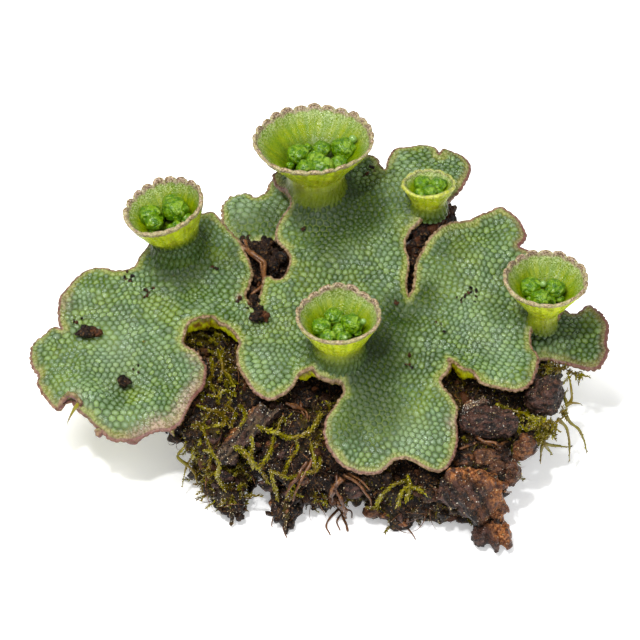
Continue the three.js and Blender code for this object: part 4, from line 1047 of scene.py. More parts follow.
def rounded_edge(upper, lower, outward):
    """Rings of points from an upper edge round to a lower one."""
    bulge = 0.08
    middle = (upper + lower) / 2
    half_up = (upper - lower) / 2
    rings = [upper]
    for angle in np.radians([45, 90, 135]):
        rings.append(middle + half_up * math.cos(angle) + outward * bulge * math.sin(angle))
    return [*rings, lower]


def painted(points, spots):
    """How strongly spots of (u, v, reach, strength) show at each point, from 0 to 1."""
    seen_v = seen_height(points)
    total = np.zeros(len(points))
    for u, v, reach, strength in spots:
        away = (points[:, 0] - u) ** 2 + (seen_v - v) ** 2
        total += strength * np.exp(-away / reach**2)
    return np.clip(total, 0, 1)


def plate(name, outline, height_at, curls, paints, skirts=(), rolls=(), has_cups=False):
    """A thallus plate: domed cells on top, a rounded edge and a coarser underside."""
    margin = margin_of(outline, height_at, curls)
    polygon = margin[:, :2]
    raised = margin[margin[:, 2] > 0]

    def base_at(points, flare):
        deep = margin_distance(points, polygon)
        lift = -MARGIN_DROOP * np.exp(-deep / MARGIN_REACH)
        if len(raised):
            away = np.hypot(points[:, :1] - raised[:, 0], points[:, 1:2] - raised[:, 1])
            lift = np.maximum(lift, (raised[:, 2] * np.exp(-away / CURL_REACH)).max(1))
        z = height_at(points[:, 0], points[:, 1]) + lift
        near = np.zeros(len(points))
        if has_cups:
            risen, near = neck_rise(points[:, 0], points[:, 1])
            z = z + risen * flare
        level = in_plan(points)
        z = z + 0.3 * noise_at(level, 2.8, 21) * smooth(deep / 1.5) * (1 - near)
        z = z + 0.22 * noise_at(level, 2.0, 22) * np.exp(-deep / 0.8) * (1 - near)
        return np.column_stack([points, z]), deep, near

    flat, faces, origin = triangulate(polygon, cell_centres(polygon))
    flat, faces, count = margin_first(flat, faces, origin, len(polygon))
    plan, faces, rise, cell, outer_edges = split_cells(flat, faces, count)
    plan = beaded(plan, polygon)
    base, deep, near = base_at(plan, 1.0)
    normals = point_normals(base, faces)
    draw = np.random.default_rng(3)
    tint = draw.uniform(0, 1, len(flat) + 1)
    swell = 0.75 + 0.5 * draw.uniform(0, 1, len(flat) + 1)
    height = CELL_RISE * rise * swell[cell] * (0.3 + 0.7 * smooth(deep / 0.9))
    top = base + normals * height[:, None]

    rim = rim_points(outer_edges)
    inner = cell_centres(polygon, UNDERSIDE_SPACING, 17)
    inner = inner[margin_distance(inner, polygon) > 0.3]
    under_flat, under_faces, origin = triangulate(plan[rim], inner)
    under_base, under_deep, _ = base_at(under_flat, 0.0)
    thickness = EDGE_THICKNESS + (PLATE_THICKNESS - EDGE_THICKNESS) * smooth(under_deep / 1.6)
    under = under_base - point_normals(under_base, under_faces) * thickness[:, None]
    upper = top[rim]
    lower = under[found_at(origin, len(rim))]
    outward = unit(np.cross(unit(np.roll(upper, -1, 0) - np.roll(upper, 1, 0)), normals[rim]))
    rings = rounded_edge(upper, lower, outward)
    ring_points = np.concatenate(rings)

    skin = Skin("dome", "cell", "edge", "under", "blush", "purple", "deep", "light", "crest")
    paint = {kind: painted(top, paints.get(kind, ())) for kind in ("blush", "deep", "light", "purple")}
    level = in_plan(top[:, :2])
    skin.add(
        # light carries the painted light of the light spots
        top, faces, dome=rise, cell=tint[cell], edge=deep, light=paint["light"],
        blush=paint["blush"] * smooth(1.2 - deep / 1.2),
        purple=paint["purple"] * smooth(1 - deep / 0.8),
        # painted shade: the deep spots, and the plate round the cups' feet
        deep=np.clip(paint["deep"] + 0.6 * near, 0, 1),
        # painted light and shade, from the same noise as the relief's height
        crest=0.5 + 0.35 * noise_at(level, 2.8, 21) + 0.25 * noise_at(level, 1.1, 23),
    )
    skin.add(
        ring_points, ring_faces(len(rings), len(rim))[:, ::-1], dome=0.5, cell=0.5,
        purple=painted(ring_points, paints.get("purple", ())),
        under=np.repeat([0, 0, 0.1, 0.5, 1.0], len(rim)),
    )
    skin.add(under, under_faces[:, ::-1], edge=under_deep, dome=0.5, cell=0.5, under=1.0)
    for skirt in skirts:
        add_skirt(skin, (upper + lower) / 2, outward, skirt)
    for route, radius in rolls:
        add_roll(skin, height_at, route, radius)
    skin.make(name + "_cells", THALLUS, replaces=[name])


def add_roll(skin, height_at, route, radius):
    """A bit of the margin that rolls or hangs over: a thin roll along a route of (u, v, lift)."""
    points = curve_through([stand_on(u, v, height_at, lift) for u, v, lift in route], 0.06)
    t = np.linspace(0, 1, len(points))
    thick = radius * (0.35 + 0.65 * np.sin(np.pi * np.clip(0.1 + 0.85 * t, 0, 1)))
    thick = thick * (1 + 0.3 * noise_at(points, 0.3, 45))
    roll, faces = tube(points, thick, 14)
    normals = point_normals(roll, faces)
    roll = roll + 0.06 * noise_at(roll, 0.25, 49)[:, None] * normals
    purple = np.clip(0.65 - 0.75 * normals[:, 2] + 0.3 * noise_at(roll, 0.4, 50), 0, 1)
    skin.add(roll, faces, edge=0.08, dome=0.5, cell=0.5, purple=purple)


def add_skirt(skin, middle, outward, skirt):
    """The yellow-green underside that shows where the margin arches up: a flap hanging from the rim."""
    sides = 14
    half_thickness = 0.1
    inset = 0.03
    u, v, reach, drop = skirt
    away = (middle[:, 0] - u) ** 2 + (seen_height(middle) - v) ** 2
    weight = np.clip(1.25 * np.exp(-(away / reach**2)) - 0.25, 0, 1)
    order = (int(np.argmin(weight)) + np.arange(len(weight))) % len(weight)
    order = order[weight[order] > 0.02]
    tops = middle[order]
    ragged = 1 + 0.25 * noise_at(tops, 0.5, 44)
    hang = np.array([0, 0, -1.0]) * (drop * weight[order] ** 0.5 * ragged)[:, None]
    turn = 2 * np.pi * np.arange(sides) / sides
    lowness = 0.5 - 0.5 * np.cos(turn)
    sections = []
    for low, out in zip(lowness, half_thickness * np.sin(turn) - inset):
        sections.append(tops + hang * low + outward[order] * out)
    rings = np.stack(sections, 1)
    points, faces = closed_rings(rings, [rings[0].mean(0), rings[-1].mean(0)])
    lowness = np.append(np.tile(lowness, len(order)), [0.5, 0.5])
    skin.add(points, faces, edge=0.15 + lowness, dome=0.5, cell=0.5, under=smooth(lowness * 3))


# Where the plate's colours change: u, v, reach and strength. Deep spots are painted shade, light spots
# painted light
MAIN_PAINTS = {
    "blush": [
        (-9.9, 1.0, 1.3, 0.8), (-11.4, -0.4, 1.1, 0.75), (-9.0, 2.4, 0.9, 0.6), (-5.7, 8.4, 0.25, 0.9),
        (-12.9, -1.2, 0.8, 0.5), (-8.9, 4.2, 0.6, 0.5), (-16.9, 1.8, 0.5, 0.4), (-17.7, 8.2, 0.7, 0.4),
        (9.2, -0.4, 0.6, 0.5), (13.2, 9.2, 0.4, 0.5),
    ],
    "purple": [
        (-14.6, -1.6, 1.3, 0.8), (-12.4, -1.4, 1.3, 0.7), (-10.2, -0.8, 1.4, 0.8), (-8.6, 1.6, 1.2, 0.8),
        (-8.4, 3.0, 1.0, 0.5), (0.8, -1.4, 1.6, 0.35), (3.0, -3.4, 1.8, 0.3), (8.9, -2.0, 1.6, 0.35),
        (14.6, 3.4, 1.8, 0.35), (-4.2, 1.8, 1.6, 0.3), (-17.0, 9.8, 1.8, 0.35), (5.4, 19.0, 1.4, 0.3),
        (-17.4, 1.0, 1.0, 0.9), (-19.6, 3.0, 1.6, 0.5), (-18.2, 7.6, 1.5, 0.4), (13.8, 13.4, 1.8, 0.6),
        (14.3, 12.2, 1.2, 0.7), (10.6, 17.2, 2.0, 0.7), (-3.0, 16.0, 1.6, 0.5), (17.0, 8.2, 1.4, 0.4),
    ],
    "deep": [
        (0.5, 12.6, 2.4, 0.75), (3.5, 14.5, 2.2, 0.75), (0.2, 14.6, 1.6, 0.6), (-9.6, 9.6, 1.8, 0.6),
        (-6.0, 11.0, 1.3, 0.5), (5.2, 7.4, 1.6, 0.85), (7.4, 8.6, 1.3, 0.75), (4.2, 4.6, 2.2, 0.85),
        (3.4, 1.2, 2.4, 0.85), (5.2, -0.4, 1.6, 0.4), (12.6, 7.2, 1.2, 0.35), (8.8, 12.0, 1.8, 0.5),
        (1.6, -1.0, 1.2, 0.4),
    ],
    "light": [
        (-14.2, 4.6, 2.2, 0.35), (-16.5, 1.6, 1.2, 0.3), (-4.0, 3.6, 1.6, 0.3), (10.5, 8.0, 1.6, 0.3),
        (6.6, -1.4, 1.6, 0.35), (12.6, 4.6, 1.6, 0.3),
    ],
}
BACK_LEFT_PAINTS = {
    "deep": [
        (-3.8, 13.6, 1.8, 0.6), (-5.6, 13.6, 1.2, 0.4),
    ],
    "light": [
        (-5.4, 14.6, 0.9, 0.4),
    ],
}
RIGHT_TIP_PAINTS = {
    "purple": [
        (19.9, 6.4, 2.0, 0.8), (19.6, 4.2, 1.6, 0.7), (17.6, 3.6, 1.6, 0.5), (18.8, 7.7, 1.4, 0.7),
    ],
    "deep": [
        (17.0, 5.6, 1.2, 0.3),
    ],
}

# Flaps of the underside that show below an arched margin: u, v, reach and depth
SKIRTS = [
    (-8.3, 7.0, 1.2, 1.3), (-9.45, 5.6, 0.8, 0.7), (-6.3, 6.1, 0.8, 0.7), (9.9, 3.5, 1.0, 0.9),
    (-0.9, 3.3, 0.6, 0.9),
]

# Bits of the margin that roll or hang over: a route of (u, v, lift), and a radius
ROLLS = [
    (
        [
            (-18.2, 0.5, -0.1), (-17.95, 1.1, 0.4), (-17.4, 1.6, 0.8), (-16.9, 1.4, 0.7), (-16.7, 0.9, 0.2),
            (-17.1, 0.6, 0.0),
        ],
        0.22,
    ),
    ([(-15.15, -0.5, -0.3), (-15.3, -0.95, -0.35), (-15.45, -1.3, -0.4)], 0.34),
    ([(-13.5, -1.15, -0.3), (-12.95, -1.6, -0.4), (-12.4, -1.35, -0.3)], 0.3),
    ([(-10.4, -0.4, -0.4), (-10.3, -0.9, -0.4), (-10.1, -1.3, -0.5)], 0.17),
]

MAIN_POLYGON = margin_of(MAIN_OUTLINE, main_height, CURLS)[:, :2]
plate("thallus_main", MAIN_OUTLINE, main_height, CURLS, MAIN_PAINTS, SKIRTS, ROLLS, True)
plate("thallus_back_left", BACK_LEFT_OUTLINE, back_left_height, [], BACK_LEFT_PAINTS)
plate("thallus_right_tip", RIGHT_TIP_OUTLINE, right_tip_height, [], RIGHT_TIP_PAINTS)


# Gemma cups
def collar_reach(place, angle):
    """How far out the foot of a cup spreads on each side: less where the plate's margin is near."""
    least = place.cup["neck"]
    most = place.cup["base"] + COLLAR_REACH
    reach = np.full(len(angle), most)
    for radius in np.linspace(least, most, 14)[::-1]:
        spots = place.foot[:2] + radius * np.stack([np.cos(angle), np.sin(angle)], 1)
        clear = is_inside(spots, MAIN_POLYGON) & (margin_distance(spots, MAIN_POLYGON) > 0.12)
        reach = np.where(clear, reach, np.minimum(reach, radius))
    wide = len(angle) // 24
    padded = np.concatenate([reach[-wide:], reach, reach[:wide]])
    return np.convolve(padded, np.ones(2 * wide + 1) / (2 * wide + 1), "valid")


def cup_rows(name, angle, scallop):
    """Rings of a cup's walls: up the outside from its foot, over the lip and down the inside to the floor.
    Each has its points, its share of the cup's height, how far inside it is and how far it is lip."""
    place = CUP_FRAMES[name]
    cup = place.cup
    around = np.column_stack([2 * np.cos(angle), 2 * np.sin(angle), np.full(len(angle), len(name))])
    sway = 0.05 * noise_at(around, 1.2, 31)
    dip = 0.1 * noise_at(around, 1.5, 32) - 0.1
    flap = cup.get("flap", 0.0) * np.exp(-(((angle - np.pi / 2) / 0.32) ** 2))
    rows = []

    def row(share, radius, lift, inside, lip):
        up = smooth((share - 0.5) / 0.5)
        grown = radius * (1 + sway * up)
        raised = lift + (dip + flap * smooth((share - 0.85) / 0.15)) * up
        rows.append((place.ring(share, grown, angle, raised), share, inside, lip))

    foot_end = float(outer_radius(cup, FOOT_SHARE))
    reach = np.maximum(collar_reach(place, angle), foot_end * 0.8)
    for t in np.linspace(0, 1, 10):
        radius = foot_end + (reach - foot_end) * (1 - t) ** 1.6
        on_cup = place.ring(FOOT_SHARE * t, radius, angle)
        climb = (FOOT_SHARE * cup["height"] + SEAT_GAP) * t - 0.1 * (1 - t)
        on_plate = np.column_stack([on_cup[:, :2], main_height(on_cup[:, 0], on_cup[:, 1]) + climb])
        blend = smooth(t)
        rows.append((on_cup * blend + on_plate * (1 - blend), FOOT_SHARE * t, 0.0, 0.0))
    for share in np.linspace(FOOT_SHARE, 0.97, 36)[1:]:
        near_rim = smooth((share - 0.8) / 0.2)
        radius = float(outer_radius(cup, share)) + 0.12 * near_rim * scallop
        lift = near_rim * 0.8 * cup["tooth_rise"] * scallop
        row(share, radius, lift, 0.0, float(smooth((share - 0.92) / 0.06)))
    for turn in np.linspace(0, np.pi, 7):
        radius = cup["rim"] - LIP_HALF + LIP_HALF * math.cos(turn) + 0.13 * scallop
        lift = cup["tooth_rise"] * scallop + LIP_HALF * math.sin(turn)
        row(1.0, radius, lift, 0.5 - 0.5 * math.cos(turn), 1.0)
    for share in np.linspace(0.96, FLOOR_SHARE, 18):
        near_rim = smooth((share - 0.8) / 0.2)
        wall = 2 * LIP_HALF + (CUP_WALL - 2 * LIP_HALF) * smooth((1 - share) / 0.5)
        radius = float(outer_radius(cup, share)) - wall + 0.1 * near_rim * scallop
        lift = near_rim * 0.7 * cup["tooth_rise"] * scallop
        row(share, radius, lift, 1.0, 0.6 * float(smooth((share - 0.93) / 0.05)))
    return rows


def cup_piece(name):
    """An open cup: walls with cells at the neck, papillae above them and a scalloped lip, and a floor."""
    cup = CUPS[name]
    teeth = cup["teeth"]
    per_tooth = 8
    columns = per_tooth * teeth
    angle = 2 * np.pi * np.arange(columns) / columns
    size = np.random.default_rng(len(name) * 7 + teeth).uniform(0.6, 1.1, teeth)
    scallop = np.abs(np.sin(teeth * angle / 2)) ** 0.6 * size[np.arange(columns) // per_tooth]
    scallop = scallop * (0.8 + 0.2 * np.sin(angle))
    rows = cup_rows(name, angle, scallop)
    stacked = np.stack([r[0] for r in rows])
    points = stacked.reshape(-1, 3)
    share, inside, lip = (np.repeat([float(r[i]) for r in rows], columns) for i in (1, 2, 3))
    faces = ring_faces(len(rows), columns)
    normals = point_normals(points, faces)

    slant = np.linalg.norm(np.diff(stacked, axis=0), axis=2).mean(1)
    up_wall = np.concatenate([[0], np.cumsum(slant)])
    cells_round = round(2 * np.pi * float(outer_radius(cup, FOOT_SHARE)) / CELL_WIDTH * 1.15)
    a = np.tile(angle / (2 * np.pi) * cells_round, len(rows))
    b = np.repeat(up_wall / (0.95 * CELL_WIDTH), columns)
    dome, tint = cell_pattern(a, b, len(name))
    neck = smooth((cup["lime"] + 0.2 - share) / 0.4) * (inside < 0.1)
    celled = smooth((neck - 0.35) / 0.5)
    papillae = 0.035 * cell_pattern(2.2 * a, 2.2 * b, 5)[0] * smooth(share / 0.3) * (1 - inside)
    rough = 0.02 * noise_at(points, 0.2, 33) + 0.05 * noise_at(points, 0.7, 34) + papillae
    points = points + normals * (CELL_RISE * dome * celled + rough * smooth(share * 5))[:, None]
    spin = 14 * np.column_stack([np.cos(angle), np.sin(angle)])
    turned = np.column_stack([np.tile(spin, (len(rows), 1)), share])
    streak = 0.5 + 0.4 * layered_noise(turned, 1.1, 3, 35) + 0.12 * noise_at(points, 0.35, 36)

    here = np.arange(columns)
    last = len(points) - columns
    floor = np.stack([np.full(columns, len(points)), last + here, last + (here + 1) % columns], 1)
    points = np.concatenate([points, [points[-columns:].mean(0)]])
    values = {
        "share": (share, FLOOR_SHARE),
        "inside": (inside, 1),
        "lip": (lip * cup.get("tan", 1.0), 0),
        "dome": (dome * celled + 0.6 * (1 - celled), 0.5),
        "cell": (tint, 0.5),
        "streak": (streak, 0.5),
        "tooth": (np.tile(scallop, len(rows)), 0),
        "neck": (neck, 0),
    }
    values = {kind: np.append(on_walls, on_floor) for kind, (on_walls, on_floor) in values.items()}
    skin = Skin(*values, "deep", "light", "crest")
    # deep gives the cells at the neck painted shade
    skin.add(points, np.concatenate([faces, floor]), deep=0.6, crest=0.5, **values)
    skin.make("cup_" + name, CUP, replaces=["gemma_cup_" + name])


def at_level(place, u, v, height):
    """Where the view line through (u, v) comes to a height above a cup's foot."""
    sight = np.array([0, -RUN / RISE, 1])
    start = np.array([u, v / RISE, 0])
    ahead = height - (start - place.foot) @ place.axis
    return start + sight * ahead / (sight @ place.axis)


def gemmae_piece(name):
    """The crumpled gemmae of a cup, where the model has them, on a bed of smaller ones."""
    place = CUP_FRAMES[name]
    cup = place.cup
    full = cup["fill"] * cup["height"]
    spots = []
    for u, v, radius in cup["gemmae"]:
        middle = at_level(place, u, v, full)
        inward = middle - place.foot - place.axis * cup["fill"] * cup["height"]
        most = float(outer_radius(cup, cup["fill"])) - 0.4 - 0.7 * radius
        excess = np.linalg.norm(inward) - most
        if excess > 0:
            middle = middle - unit(inward) * excess
        spots.append((middle, 1.12 * radius, 5 if radius > 0.62 else 4))
    draw = np.random.default_rng(5 + len(name))
    bed = float(outer_radius(cup, cup["fill"] - 0.12)) - CUP_WALL
    for _ in range(14):
        turn = draw.uniform(0, 2 * np.pi)
        out = bed * math.sqrt(draw.uniform(0, 1)) * 0.85
        middle = place.ring(cup["fill"] - 0.13, out, turn)
        spots.append((middle, draw.uniform(0.3, 0.45), 3))
    squash = np.array([1.0, 1.0, 0.88])
    skin = Skin("fold")
    for i, (middle, radius, level) in enumerate(spots):
        ball, ball_faces = icosphere(level)
        bent = ball + 0.3 * wobble_at(ball + 7 * i, 0.5, 46)
        folds = np.abs(noise_at(bent + 10 * i, 0.55, 41)) * 2.4 - 0.4
        folds = 0.75 * folds + 0.4 * noise_at(bent + 20 * i, 0.2, 42) + 0.2 * noise_at(ball + 3 * i, 0.1, 48)
        shape = 0.94 + 0.09 * folds + 0.14 * noise_at(ball + 5 * i, 0.8, 43)
        points = middle + radius * squash * ball * shape[:, None]
        # the folds' height, for their painted light and shade
        skin.add(points, ball_faces, fold=np.clip(0.5 + 0.5 * folds, 0, 1))
    skin.make("gemmae_" + name + "_wet", GEMMAE, replaces=["gemmae_" + name])


# Drops of water in the cups: cup, (u, v) and radius
DROPS = [
    ("front", 1.73, 5.55, 0.2), ("front", 3.0, 6.68, 0.22), ("right", 15.55, 9.3, 0.24),
    ("back", 2.3, 19.5, 0.3),
]


def drops_piece():
    """A few clear drops of water on the gemmae."""
    above_gemmae = 0.55
    skin = Skin()
    ball, faces = icosphere(4)
    shape = (1 + 0.04 * noise_at(ball, 0.8, 47))[:, None]
    for name, u, v, radius in DROPS:
        cup = CUPS[name]
        middle = at_level(CUP_FRAMES[name], u, v, cup["fill"] * cup["height"] + above_gemmae)
        skin.add(middle + radius * ball * shape, faces)
    skin.make("cup_drops", DROPLET)


for cup_name in CUPS:
    cup_piece(cup_name)
    gemmae_piece(cup_name)
drops_piece()


# The soil
def bulk_gap(points):
    """Roughly how far points are outside the clod in mm, with its lumps run together: less than 0 inside."""
    x, y, z = points.T
    blend = 0.8
    gap = np.full(len(points), 1e3)
    for cx, cy, cz, rx, ry, rz in SOIL_LUMPS:
        away = np.sqrt(((x - cx) / rx) ** 2 + ((y - cy) / ry) ** 2 + ((z - cz) / rz) ** 2)
        lump = (away - 1) * min(rx, ry, rz)
        mix = np.maximum(0, blend - np.abs(gap - lump)) / blend
        gap = np.minimum(gap, lump) - mix * mix * blend / 4
    headroom = 1.1
    under_tip = np.clip(x - 12, 0, 1)
    under_back_lobe = ((y > 6) & (x < 0)).astype(float)
    lowered = headroom * (1 + np.maximum(under_tip, under_back_lobe))
    return np.maximum(gap, z - height_across(x, y) + 0.7 + lowered)


def soil_gap(points):
    """The same with the model's soft crumbling and the flat underside."""
    x, y, z = points.T
    across = np.sin(1.3 * x + np.sin(1.1 * y)) * np.sin(1.2 * y - 0.8 * z)
    crumble = 0.5 * across * np.sin(1.3 * z + 0.6 * x)
    return np.maximum(bulk_gap(points) + crumble, -z)


# Where the clod's edge draws in: u, v, width, height and depth
NOTCHES = [
    (-9.8, -2.9, 1.3, 1.1, 1.7), (-3.9, -4.9, 0.7, 0.9, 0.9), (-8.9, -4.6, 0.5, 0.5, 0.8),
    (2.5, -5.9, 0.6, 0.5, 0.7),
]


def fine_soil_gap(points):
    """The same with fine crumbs, points that hang at the front edge, and notches."""
    gap = soil_gap(points)
    near = np.abs(gap) < 1.8
    close = points[near]
    rough = 0.42 * layered_noise(close, 1.5, 3, 51)
    hanging = smooth((-5.5 - close[:, 1]) / 3.5)
    drips = 1 - 2.2 * np.abs(noise_at(close * [1, 1, 0.35], 1.3, 52))
    rough = rough - 0.34 * hanging * drips + 0.1 * hanging
    seen_v = seen_height(close)
    for u, v, wide, high, depth in NOTCHES:
        rough = rough + depth * np.exp(-(((close[:, 0] - u) / wide) ** 2) - ((seen_v - v) / high) ** 2)
    gap[near] += rough
    return np.maximum(gap, -points[:, 2])


def lay_on_soil(u, v, distance, gap_at=soil_gap):
    """Where the view line through each (u, v) comes within a distance of the soil."""
    u, v, distance = (np.atleast_1d(np.asarray(a, float)) for a in (u, v, distance))
    u, v, distance = np.broadcast_arrays(u, v, distance)
    found = np.full(len(u), np.nan)

    def touches(which, y):
        z = (v[which] - y * RISE) / RUN
        near = gap_at(np.column_stack([u[which], y, z])) < distance[which]
        return near | (z < distance[which] + 0.1)

    open_ones = np.arange(len(u))
    for y in np.arange(-17, 14, 0.1):
        if not len(open_ones):
            break
        hit = touches(open_ones, np.full(len(open_ones), y))
        found[open_ones[hit]] = y
        open_ones = open_ones[~hit]
    settled = np.flatnonzero(~np.isnan(found))
    for _ in range(4):
        earlier = found[settled] - 0.02
        hit = touches(settled, earlier)
        found[settled[hit]] -= 0.02
    return np.column_stack([u, found, (v - found * RISE) / RUN])


def skin_of_field(gap_at, low, high, step):
    """Points and triangles of the surface where gap_at is 0: one point in each grid cell it crosses."""
    axes = [np.arange(low[a], high[a], step) for a in range(3)]
    grid = np.stack(np.meshgrid(*axes, indexing="ij"), -1)
    size = grid.shape[:3]
    values = gap_at(grid.reshape(-1, 3)).reshape(size)
    cells = tuple(n - 1 for n in size)
    total = np.zeros((*cells, 3))
    crossings = np.zeros(cells)
    crossed_edges = []
    for a in range(3):
        b, c = (a + 1) % 3, (a + 2) % 3
        lower = np.take(values, range(size[a] - 1), a)
        upper = np.take(values, range(1, size[a]), a)
        crossed = (lower < 0) != (upper < 0)
        share = np.where(crossed, lower / np.where(crossed, lower - upper, 1), 0)
        crossed_edges.append((crossed, lower < 0))
        for ob, oc in product((0, 1), repeat=2):
            window = [slice(None)] * 3
            window[b] = slice(ob, ob + cells[b])
            window[c] = slice(oc, oc + cells[c])
            here = crossed[tuple(window)]
            total[..., a] += share[tuple(window)]
            total[..., b] += ob * here
            total[..., c] += oc * here
            crossings += here
    used = crossings > 0
    index = np.full(cells, -1)
    index[used] = np.arange(used.sum())
    corner = grid[:-1, :-1, :-1][used]
    points = corner + step * total[used] / crossings[used][:, None]
    quads = []
    for a in range(3):
        b, c = (a + 1) % 3, (a + 2) % 3
        crossed, starts_in = crossed_edges[a]
        at = np.argwhere(crossed)
        at = at[(at[:, b] > 0) & (at[:, c] > 0) & (at[:, b] < cells[b]) & (at[:, c] < cells[c])]
        around = []
        for back_b, back_c in ((0, 0), (1, 0), (1, 1), (0, 1)):
            cell = at.copy()
            cell[:, b] -= back_b
            cell[:, c] -= back_c
            around.append(index[tuple(cell.T)])
        around = np.stack(around, 1)
        turned = ~starts_in[tuple(at.T)]
        around[turned] = around[turned][:, ::-1]
        quads.append(around)
    quads = np.concatenate(quads)
    faces = np.concatenate([quads[:, [0, 1, 2]], quads[:, [0, 2, 3]]])
    return points, faces


def ball_draws(draw, count):
    """Places spread evenly through a ball of radius 1."""
    way = unit(draw.normal(0, 1, (count, 3)))
    return way * draw.uniform(0, 1, (count, 1)) ** (1 / 3)


def rough_lumps(skin, middles, sizes, level, draw, **values):
    """Small grains with flat broken faces."""
    planes = 7
    ball, ball_faces = icosphere(level)
    count = len(middles)
    ways = unit(draw.normal(0, 1, (count, planes, 3)))
    reach = draw.uniform(0.55, 1.0, (count, planes, 1))
    facing = (np.maximum(np.einsum("ijk,lk->ijl", ways, ball), 0.25) / reach).max(1)
    shape = np.minimum(1 / facing, 1.5) * draw.uniform(0.85, 1.15, (count, len(ball)))
    stretch = draw.uniform(0.7, 1.3, (count, 1, 3))
    points = middles[:, None] + sizes[:, None, None] * stretch * shape[..., None] * ball[None]
    keep_above(points)
    faces = ball_faces[None] + len(ball) * np.arange(count)[:, None, None]
    spread = {}
    for name, value in values.items():
        spread[name] = np.repeat(np.broadcast_to(value, count), len(ball))
    skin.add(points, faces, **spread)


# Where beads of water lie, bright ones that stand for glints, gathered while the pieces are made
DEW_GLINTS = []

# The box that the clod lies in, and the width of the grid cells that its skin is made from
CLOD_LOW = (-14.6, -14.6, -0.13)
CLOD_HIGH = (17.6, 13.1, 11.6)
CLOD_STEP = 0.27

# Loose grains on the clod: how many, least and greatest half-size, and level of detail
GRAINS = [(2600, 0.07, 0.2, 1), (500, 0.18, 0.42, 2)]
SOIL_BEADS = 2600
GRAIN_BEADS = 0.4  # of the grains have a bead

# How many small things are spread over the clod
SPRIGS = 190
SINGLE_LEAVES = 7000
ROOT_HAIRS = 320
SMALL_CHIPS = 220

STEM_CLEARANCE = 0.45


def dew_glints_near(points, normals, share, draw):
    """Notes places for beads of water, painted bright as glints: a share of the points, a little way out."""
    picked = draw.uniform(0, 1, len(points)) < share
    DEW_GLINTS.append(points[picked] + 0.02 * normals[picked])


def mossiness(points):
    """How mossy the soil is at a point, from 0 to 1: most on the left, none in the gaps behind."""
    patchy = smooth((layered_noise(points, 3.0, 2, 61) + 0.15) / 0.5)
    left = smooth((2.0 - points[:, 0]) / 8.0)
    return patchy * (0.35 + 0.65 * left) * smooth((3.5 - points[:, 1]) / 3.0)


def soil_piece():
    """The clod's skin with loose grains on it. Returns its points, their normals, and those in view."""
    points, faces = skin_of_field(fine_soil_gap, CLOD_LOW, CLOD_HIGH, CLOD_STEP)
    keep_above(points)
    normals = point_normals(points, faces)
    moss = mossiness(points)
    skin = Skin("crumb", "mossy")
    skin.add(points, faces, crumb=np.clip(noise_at(points, 0.5, 8), 0, 1) * 0.6, mossy=moss)
    skin.make("soil_peat", SOIL, replaces=["soil_clod"])

    draw = np.random.default_rng(71)
    facing = normals[:, 2] * RISE - normals[:, 1] * RUN
    shown = np.flatnonzero((points[:, 2] > 0.4) & (facing > -0.3))
    grains = Skin("crumb", "mossy")
    for count, least, most, level in GRAINS:
        picked = draw.choice(shown, count)
        sizes = draw.uniform(least, most, count)
        middles = points[picked] + normals[picked] * (0.3 * sizes)[:, None]
        crumb = draw.uniform(0, 1, count) ** 2
        rough_lumps(grains, middles, sizes, level, draw, crumb=crumb, mossy=0.5 * moss[picked])
        dew_glints_near(middles + normals[picked] * (0.9 * sizes)[:, None], normals[picked], GRAIN_BEADS, draw)
    picked = draw.choice(shown, SOIL_BEADS)
    dew_glints_near(points[picked] + 0.03 * normals[picked], normals[picked], 1.0, draw)
    grains.make("soil_crumbs", SOIL)
    return points, normals, shown


soil_points, soil_normals, soil_shown = soil_piece()


# Moss
def leaves_on(skin, roots, alongs, outs, length, width, draw, tint):
    """Small pointed leaves, each rooted at a point and leaning out from the stem."""
    count = len(roots)
    lean = draw.uniform(0.35, 1.1, (count, 1))
    tip_way = unit(alongs + lean * outs)
    mid_way = unit(alongs * 0.8 + lean * outs * 1.3)
    size = length * draw.uniform(0.6, 1.3, (count, 1))
    half = width / 2
    across = unit(np.cross(alongs, outs))
    middle = roots + 0.5 * size * mid_way
    corners = np.stack([
        roots - 0.7 * half * across, roots + 0.7 * half * across, middle - half * across,
        middle + half * across, roots + size * tip_way, middle - 0.25 * half * outs,
    ], 1)
    keep_above(corners)
    leaf = np.array([(0, 1, 5), (0, 5, 2), (1, 3, 5), (2, 5, 4), (5, 3, 4)])
    tips = np.tile([0.0, 0.0, 0.3, 0.3, 1.0, 0.2], count)
    faces = leaf[None] + 6 * np.arange(count)[:, None, None]
    skin.add(corners, faces, tip=tips, tint=np.repeat(tint, 6))


